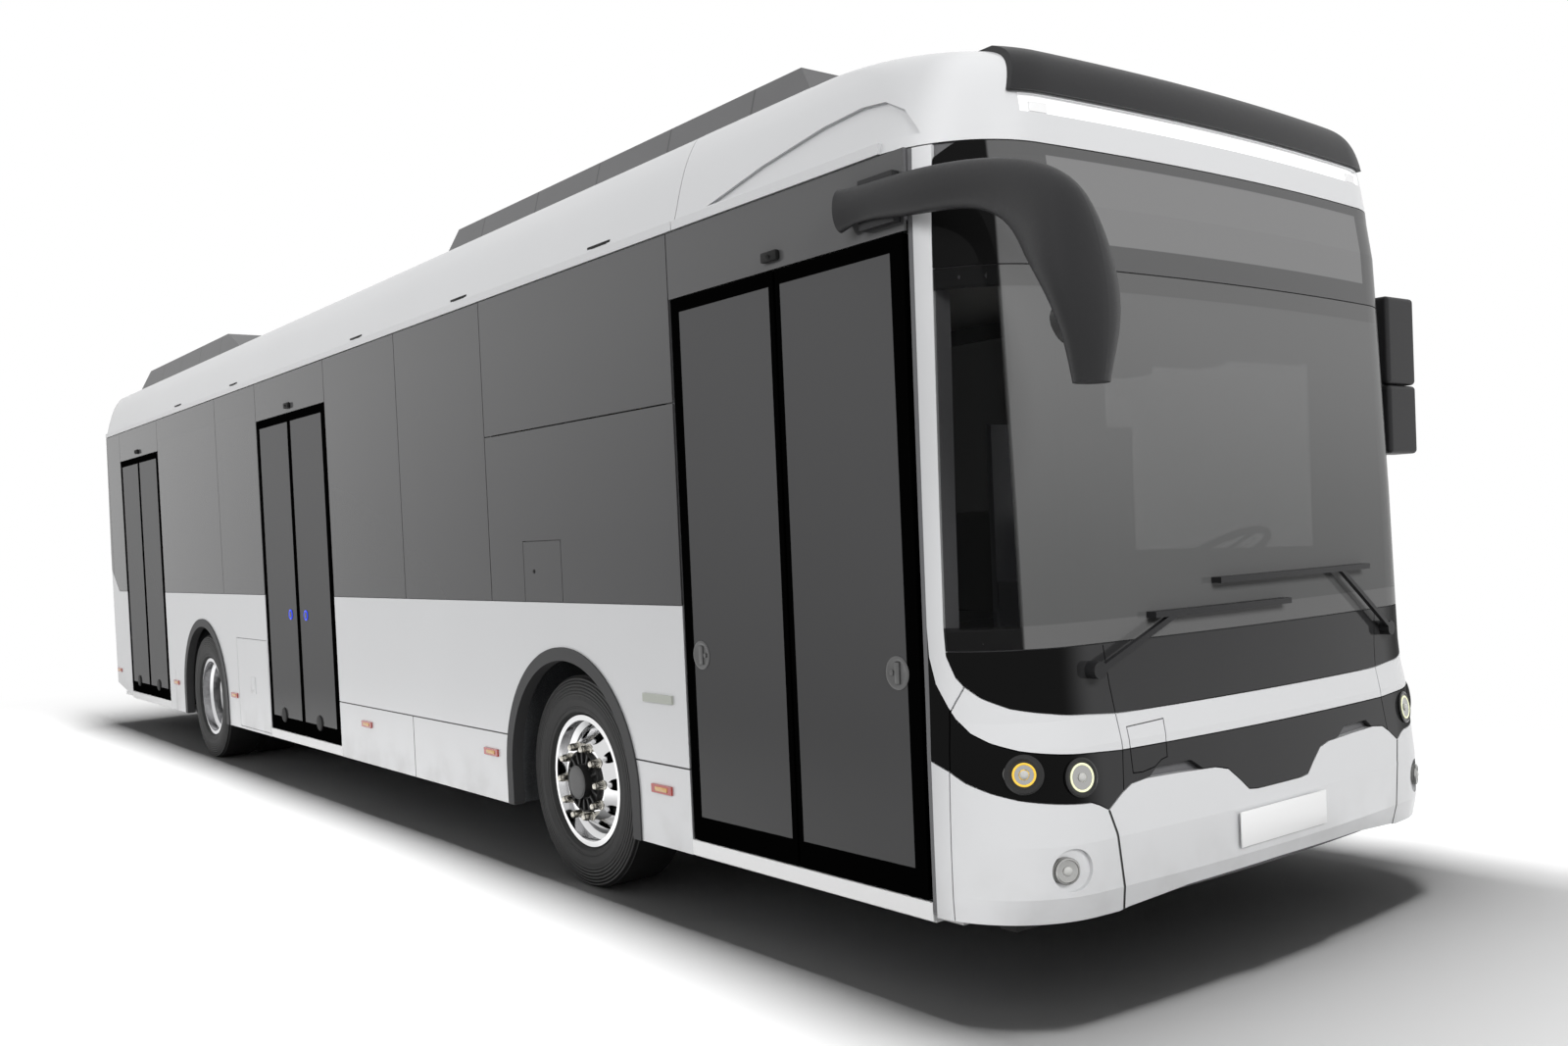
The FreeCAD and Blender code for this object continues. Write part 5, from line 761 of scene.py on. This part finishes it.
for letter, along, height in PULL_CUPS:
    leaf_name = f"door_front_leaf_{letter}"
    spot = kerb_seat(leaf_name, along, height)
    aside = Vector((LOCK_ASIDE if letter == "a" else -LOCK_ASIDE, 0.0, 0.0))
    cup = turned(spot, OUTWARD, CUP_PROFILE, 40)
    grip = slab((along - GRIP_HALF, spot.y - 0.006, height - GRIP_HALF_HIGH),
                (along + GRIP_HALF, spot.y, height + GRIP_HALF_HIGH), 0.004)
    lock = turned(spot + aside, OUTWARD, LOCK_PROFILE, 20)
    fitted(f"pull_cup_{letter}", cup_grey, [cup, grip, lock], leaf_name)
for letter, along in PUSH_BUTTONS:
    leaf_name = f"door_middle_leaf_{letter}"
    spot = kerb_seat(leaf_name, along, BUTTON_HEIGHT)
    ring = turned(spot, OUTWARD, RING_PROFILE, 40)
    button = turned(spot, OUTWARD, BUTTON_PROFILE, 32)
    fitted(f"button_ring_{letter}", ring_blue, [ring], leaf_name)
    fitted(f"push_button_{letter}", cup_grey, [button], leaf_name)
for door, shift in (("middle", 0.0), ("rear", MIDDLE_TO_REAR)):
    for letter, along in BUMP_STOPS:
        leaf_name = f"door_{door}_leaf_{letter}"
        stop = turned(kerb_seat(leaf_name, along + shift, STOP_HEIGHT), OUTWARD, STOP_PROFILE, 32)
        fitted(f"bump_stop_{door}_{letter}", stop_rubber, [stop], leaf_name)
for door, along in SENSORS:
    spot = kerb_seat("window_glass", along, SENSOR_HEIGHT)
    housing = slab((along - SENSOR_HALF, spot.y - SENSOR_DEEP, SENSOR_HEIGHT - SENSOR_HALF_HIGH),
                   (along + SENSOR_HALF, spot.y, SENSOR_HEIGHT + SENSOR_HALF_HIGH), 0.006)
    eye = turned((along, spot.y - 0.018, SENSOR_HEIGHT - 0.004), (0.0, -1.0, -0.6), EYE_PROFILE, 20)
    fitted(f"door_sensor_{door}", stop_rubber, [housing, eye])

# Small covers
# Slots for lifting hooks run along both coves, and the flaps in the side have their turn locks.
HOOK_SLOTS = ((3.486, 0.189), (2.087, 0.186), (0.675, 0.187), (-1.755, 0.180), (-3.275, 0.200))
SLOT_HEIGHT, SLOT_HALF_HIGH, LIP_SHORTER = 2.805, 0.006, 0.03
FLAP_LOCK, LATCH, LATCH_HALF = (2.792, 1.431), (-1.60, 0.62), 0.055
LATCH_FOOT, LATCH_HEAD, LATCH_TURN_HEIGHT = 0.58, 0.70, 0.60
FLAP_LOCK_PROFILE = ((0.010, -0.001), (0.010, 0.002), (0.008, 0.003), (0.003, 0.0015))
LATCH_PROFILE = ((0.011, 0.0), (0.011, 0.003), (0.008, 0.004), (0.003, 0.003))
slots = []
for along, length in HOOK_SLOTS:
    spot = kerb_seat("coves", along, SLOT_HEIGHT)
    half = length / 2
    lip_half = half - LIP_SHORTER
    slots.append(slab((along - half, spot.y - 0.002, SLOT_HEIGHT - SLOT_HALF_HIGH),
                      (along + half, spot.y + 0.006, SLOT_HEIGHT + SLOT_HALF_HIGH), 0.0018))
    slots.append(slab((along - lip_half, spot.y - 0.005, SLOT_HEIGHT - 0.0065),
                      (along + lip_half, spot.y + 0.004, SLOT_HEIGHT - 0.0015), 0.0012))
fitted("hook_slots", stop_rubber, slots + [copied(piece, MIRRORED) for piece in slots])
turn_lock = turned(kerb_seat("charge_flap", *FLAP_LOCK), OUTWARD, FLAP_LOCK_PROFILE, 20)
fitted("flap_lock", stop_rubber, [turn_lock], "charge_flap")
spot = kerb_seat("lower_panels", *LATCH)
latch_plate = slab((LATCH[0] - LATCH_HALF, spot.y - 0.0025, LATCH_FOOT),
                   (LATCH[0] + LATCH_HALF, spot.y + 0.003, LATCH_HEAD), 0.002)
latch = turned((LATCH[0], spot.y - 0.001, LATCH_TURN_HEIGHT), OUTWARD, LATCH_PROFILE, 20)
fitted("service_latch", silver, [latch_plate, latch])

# Wheels
# Bright metal rims, polished in front and duller behind, painted darker inboard in their wells as painted
# shade, with black hubs, and radial tyres with fine rings on their walls.
wheel_names = [f"{end}_{hand}" for end in ("front", "rear") for hand in ("left", "right")]
wheel_centres = {name: (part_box(f"rim_{name}")[0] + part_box(f"rim_{name}")[1]) / 2 for name in wheel_names}


def reach_from(paint, centre):
    """Distance of the surface point from a wheel's axis."""
    along, across, upright = paint.axes()
    ahead, above = along - centre.x, upright - centre.z
    return (ahead * ahead + above * above).math("SQRT", 0.0)


HUB_REACH = 0.1405
RIM_INSIDE = (1.10, 1.15)
SIDEWALL_RIDGES, RIDGES_FROM = 420.0, (0.385, 0.40)
BEAD_LINE, SHOULDER_LINE = (0.332, 0.338), (0.448, 0.452)
for end, bright, rough in (("front", (0.70, 0.70, 0.705), 0.10), ("rear", (0.66, 0.66, 0.67), 0.2)):
    centre = wheel_centres[f"{end}_right"]
    alloy = Paint(f"rim_{end}_finish", bright, rough, Metallic=1.0)
    from_axis = reach_from(alloy, centre)
    hub = alloy.ramp(from_axis, HUB_REACH, HUB_REACH + 0.001, 1.0, 0.0)
    # Painted shade: the rim is painted darker inboard, in its well.
    inside = alloy.ramp(alloy.axes()[1].size(), *RIM_INSIDE, 0.55, 1.0)
    alloy.shades(hub, alloy.tint(inside, (0.12, 0.12, 0.12), bright), (0.014, 0.014, 0.014))
    alloy.set("Metallic", 1.0 - hub)
    handling = alloy.ramp(alloy.noise(40.0, 3.0), 0.3, 0.7, rough - 0.03, rough + 0.05)
    alloy.set("Roughness", handling + hub * 0.3)
    dress(alloy, f"rim_{end}_left", f"rim_{end}_right")
    rubber = Paint(f"tyre_{end}_rubber", (0.03, 0.03, 0.03), 0.62, Specular_IOR_Level=0.3)
    from_axis = reach_from(rubber, centre)
    rubber.shades(rubber.noise(30.0, 4.0), (0.012, 0.012, 0.012), (0.020, 0.020, 0.020))
    ridges = (from_axis * SIDEWALL_RIDGES).math("SINE", 0.0) * rubber.ramp(from_axis, *RIDGES_FROM)
    band = rubber.within(from_axis, *BEAD_LINE) + rubber.within(from_axis, *SHOULDER_LINE)
    rubber.bump(ridges * 0.4 + band + rubber.noise(600.0, 2.0) * 0.05, 0.9, 0.006)
    dress(rubber, f"tyre_{end}_left", f"tyre_{end}_right")

# Wheel nuts and hubs
# Ten long sleeve nuts hold each rim, round a black ribbed hub with a flat grey centre cap.
NUTS, NUT_RING = 10, 0.160
RIBS, RIB_INNER, RIB_OUTER, RIB_HALF, RIB_RISE = 16, 0.080, 0.134, 0.006, 0.016
HUB_FLAT = 0.108
NUT_PROFILE = ((0.0225, -0.002), (0.0225, 0.004), (0.0185, 0.006), (0.0185, 0.012))
SLEEVE_PROFILE = ((0.0180, 0.011), (0.0175, 0.036), (0.0150, 0.040), (0.0145, 0.047), (0.011, 0.051),
                  (0.004, 0.052))
SKIRT_PROFILE = ((0.1395, 0.0), (0.1395, 0.012), (0.136, 0.017), (0.131, 0.012), (0.131, 0.002))
CAP_PROFILE = ((0.068, -0.002), (0.068, 0.001), (0.064, 0.0028), (0.034, 0.0034))
nut_steel = Paint("nut_steel", (0.50, 0.48, 0.43), 0.28, Metallic=1.0)
nut_steel.polish(120.0, 3.0, 0.18, 0.32)
hub_black = Paint("hub_black", (0.015, 0.015, 0.015), 0.45, Specular_IOR_Level=0.3)
hub_black.bump(hub_black.noise(260.0), 0.2, 0.0005)
cap_grey = Paint("cap_grey", (0.075, 0.075, 0.075), 0.5)
cap_grey.shades(cap_grey.noise(80.0), (0.066, 0.066, 0.066), (0.086, 0.086, 0.086))


def rim_face(name, centre, outward, reach):
    """Point of a rim's outer face at a distance ahead of its axis."""
    start = centre + Vector((reach, 0.0, 0.0)) - outward * BESIDE_KERB
    return seat_on(f"rim_{name}", start, -outward)[0]


def rounds(part, centre, count):
    """The other copies of a part that stands a number of times round an axle."""
    axle = Matrix.Translation(centre)
    return [copied(part, axle @ Matrix.Rotation(step * math.tau / count, 4, "Y") @ axle.inverted())
            for step in range(1, count)]


for name in wheel_names:
    body = f"wheel_{name}"
    outward = Vector((0.0, 1.0 if name.endswith("left") else -1.0, 0.0))
    centre = wheel_centres[name].copy()
    centre.y = 0.0
    spot = rim_face(name, centre, outward, NUT_RING)
    nut = turned(spot, outward, NUT_PROFILE, 24)
    sleeve = turned(spot, outward, SLEEVE_PROFILE, 12)
    nuts = [nut, sleeve] + rounds(nut, centre, NUTS) + rounds(sleeve, centre, NUTS)
    fitted(f"wheel_nuts_{name}", nut_steel, nuts, body)
    hub_face = rim_face(name, centre, outward, HUB_FLAT)
    rib = slab((centre.x + RIB_INNER, min(0.0, outward.y * RIB_RISE), centre.z - RIB_HALF),
               (centre.x + RIB_OUTER, max(0.0, outward.y * RIB_RISE), centre.z + RIB_HALF), 0.002, 1)
    rib.data.transform(Matrix.Translation((0.0, hub_face.y, 0.0)))
    skirt = turned((centre.x, hub_face.y, centre.z), outward, SKIRT_PROFILE, 48)
    ribs = [rib] + rounds(rib, centre, RIBS)
    fitted(f"hub_ribs_{name}", hub_black, ribs + [skirt], body)
    middle = rim_face(name, centre, outward, 0.0)
    cap = turned((centre.x, middle.y, centre.z), outward, CAP_PROFILE, 40)
    fitted(f"hub_cap_{name}", cap_grey, [cap], body)

# Cabin fittings
# Seat shells and the cab wall are grey moulded laminate; grab poles are powder-coated yellow tube.
shell = Paint("seat_shell", (0.30, 0.31, 0.33), 0.45)
shell_grain = shell.noise(450.0, 2.0)
shell.shades(shell_grain, (0.26, 0.27, 0.29), (0.32, 0.33, 0.35))
shell.bump(shell_grain, 0.12, 0.0004)
dress(shell, "seat_frames", "cab_partition", "cab_door")
pole = Paint("pole_coating", (0.75, 0.47, 0.04), 0.3)
pole.shades(pole.noise(12.0), (0.70, 0.43, 0.03), (0.78, 0.50, 0.05))
pole.set("Roughness", pole.ramp(pole.noise(80.0, 2.0), 0.3, 0.7, 0.25, 0.4))
dress(pole, "grab_poles")

# Seat pads
# Foam pads in blue woven cloth lie in the shells, crowned, with two sewn channels.
# One pad of each size is stuffed by simulation and copied to every seat that takes it.
VOXEL = 0.024
SWELL_FRAMES = 20
SWELL_CAP = 0.022
STUFFING = 4.0
SLACK, CORNER_SHARE = 0.008, 0.55
CHANNEL_SHARE, CHANNEL_DEEP, CHANNEL_WIDE = 0.24, 0.007, 0.010
THREADS = 1600.0
fabric = Paint("seat_fabric", roughness=0.88)
along_x, along_y, along_z = [(line * THREADS).math("SINE", 0.0) for line in fabric.axes()]
weave = along_x * along_y + along_z * along_y
fabric_tone = fabric.tint(fabric.noise(90.0, 3.0), (0.035, 0.055, 0.14), (0.07, 0.10, 0.22))
fabric.shades(fabric.ramp(weave, -0.4, 0.8), fabric_tone, (0.10, 0.13, 0.26))
fabric.bump(weave + fabric.noise(900.0, 2.0), 0.35, 0.0008)


def islands(name):
    """Lowest and highest corner of each separate solid in a frame node."""
    mesh = bmesh.new()
    mesh.from_mesh(nodes[name].data)
    bmesh.ops.remove_doubles(mesh, verts=mesh.verts, dist=0.0001)
    left = set(mesh.verts)
    boxes = []
    while left:
        group, edge = [], [left.pop()]
        while edge:
            vert = edge.pop()
            group.append(vert.co.copy())
            for link in vert.link_edges:
                other = link.other_vert(vert)
                if other in left:
                    left.discard(other)
                    edge.append(other)
        boxes.append((Vector([min(c[k] for c in group) for k in range(3)]),
                      Vector([max(c[k] for c in group) for k in range(3)])))
    mesh.free()
    return sorted(boxes, key=lambda pair: tuple(round(v, 3) for v in (*pair[0], *pair[1])))


def stuffed(size, upright):
    """A crowned pad of this size about the origin, with its sewn channels on the sitting side."""
    half = size / 2 - Vector((SLACK, SLACK, SLACK))
    pad = slab(-half, half, min(half) * CORNER_SHARE, 3)
    pad.data.remesh_voxel_size = VOXEL
    bpy.ops.object.voxel_remesh()
    start = [vert.co.copy() for vert in pad.data.vertices]
    stuffing = pad.modifiers.new("Stuffing", "CLOTH")
    stuffing.settings.use_pressure = True
    stuffing.settings.uniform_pressure_force = STUFFING
    stuffing.settings.effector_weights.gravity = 0.0
    for step in range(1, SWELL_FRAMES + 1):
        bpy.context.scene.frame_set(step)
    bpy.ops.object.modifier_apply(modifier="Stuffing")
    bpy.context.scene.frame_set(1)
    for vert, before in zip(pad.data.vertices, start):
        moved = vert.co - before
        if moved.length > SWELL_CAP:
            vert.co = before + moved * (SWELL_CAP / moved.length)
    low = Vector([min(vert.co[k] for vert in pad.data.vertices) for k in range(3)])
    high = Vector([max(vert.co[k] for vert in pad.data.vertices) for k in range(3)])
    grown = high - low
    fit = Matrix.Diagonal((size.x / grown.x, size.y / grown.y, size.z / grown.z, 1.0))
    pad.data.transform(fit @ Matrix.Translation(-(low + high) / 2))
    finer = pad.modifiers.new("Finer", "SUBSURF")
    finer.levels = finer.render_levels = 1
    bpy.ops.object.modifier_apply(modifier="Finer")
    thick = 0 if upright else 2
    for vert in pad.data.vertices:
        rise = vert.co[thick] / (size[thick] / 2)
        if rise > 0.2:
            near = abs(abs(vert.co.y) - size.y * CHANNEL_SHARE)
            dip = CHANNEL_DEEP * math.exp(-(near / CHANNEL_WIDE) ** 2)
            vert.co[thick] -= dip * min(1.0, (rise - 0.2) / 0.4)
    return pad


patterns = {}
for number, (low, high) in enumerate(islands("seat_cushions"), 1):
    size = high - low
    upright = size.z > size.x
    key = tuple(round(v, 3) for v in size)
    place = Matrix.Translation((low + high) / 2)
    if key not in patterns:
        patterns[key] = stuffed(size, upright)
    pad = copied(patterns[key], place)
    title = "back_pad" if upright else "seat_pad"
    fitted(f"{title}_{number:02d}", fabric, [pad], smooth=80.0)
    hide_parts("seat_cushions")
for pattern in patterns.values():
    bpy.data.objects.remove(pattern)

# Cab details
# Over the screen hang the housings of the sun blind and the screens that show the doors.
HOUSINGS = ((-0.42, -0.20, 2.06), (-0.19, 0.24, 2.11), (0.25, 0.88, 2.15))
HOUSING_BACK, HOUSING_FRONT, HOUSING_TOP = 5.37, 5.50, 2.36
header = Paint("header_grey", (0.13, 0.13, 0.13), 0.5)
header.shades(header.noise(200.0), (0.115, 0.115, 0.117), (0.145, 0.145, 0.147))
steps = [slab((HOUSING_BACK, right_side, foot), (HOUSING_FRONT, left_side, HOUSING_TOP), 0.012)
         for right_side, left_side, foot in HOUSINGS]
fitted("blind_housings", header, steps)
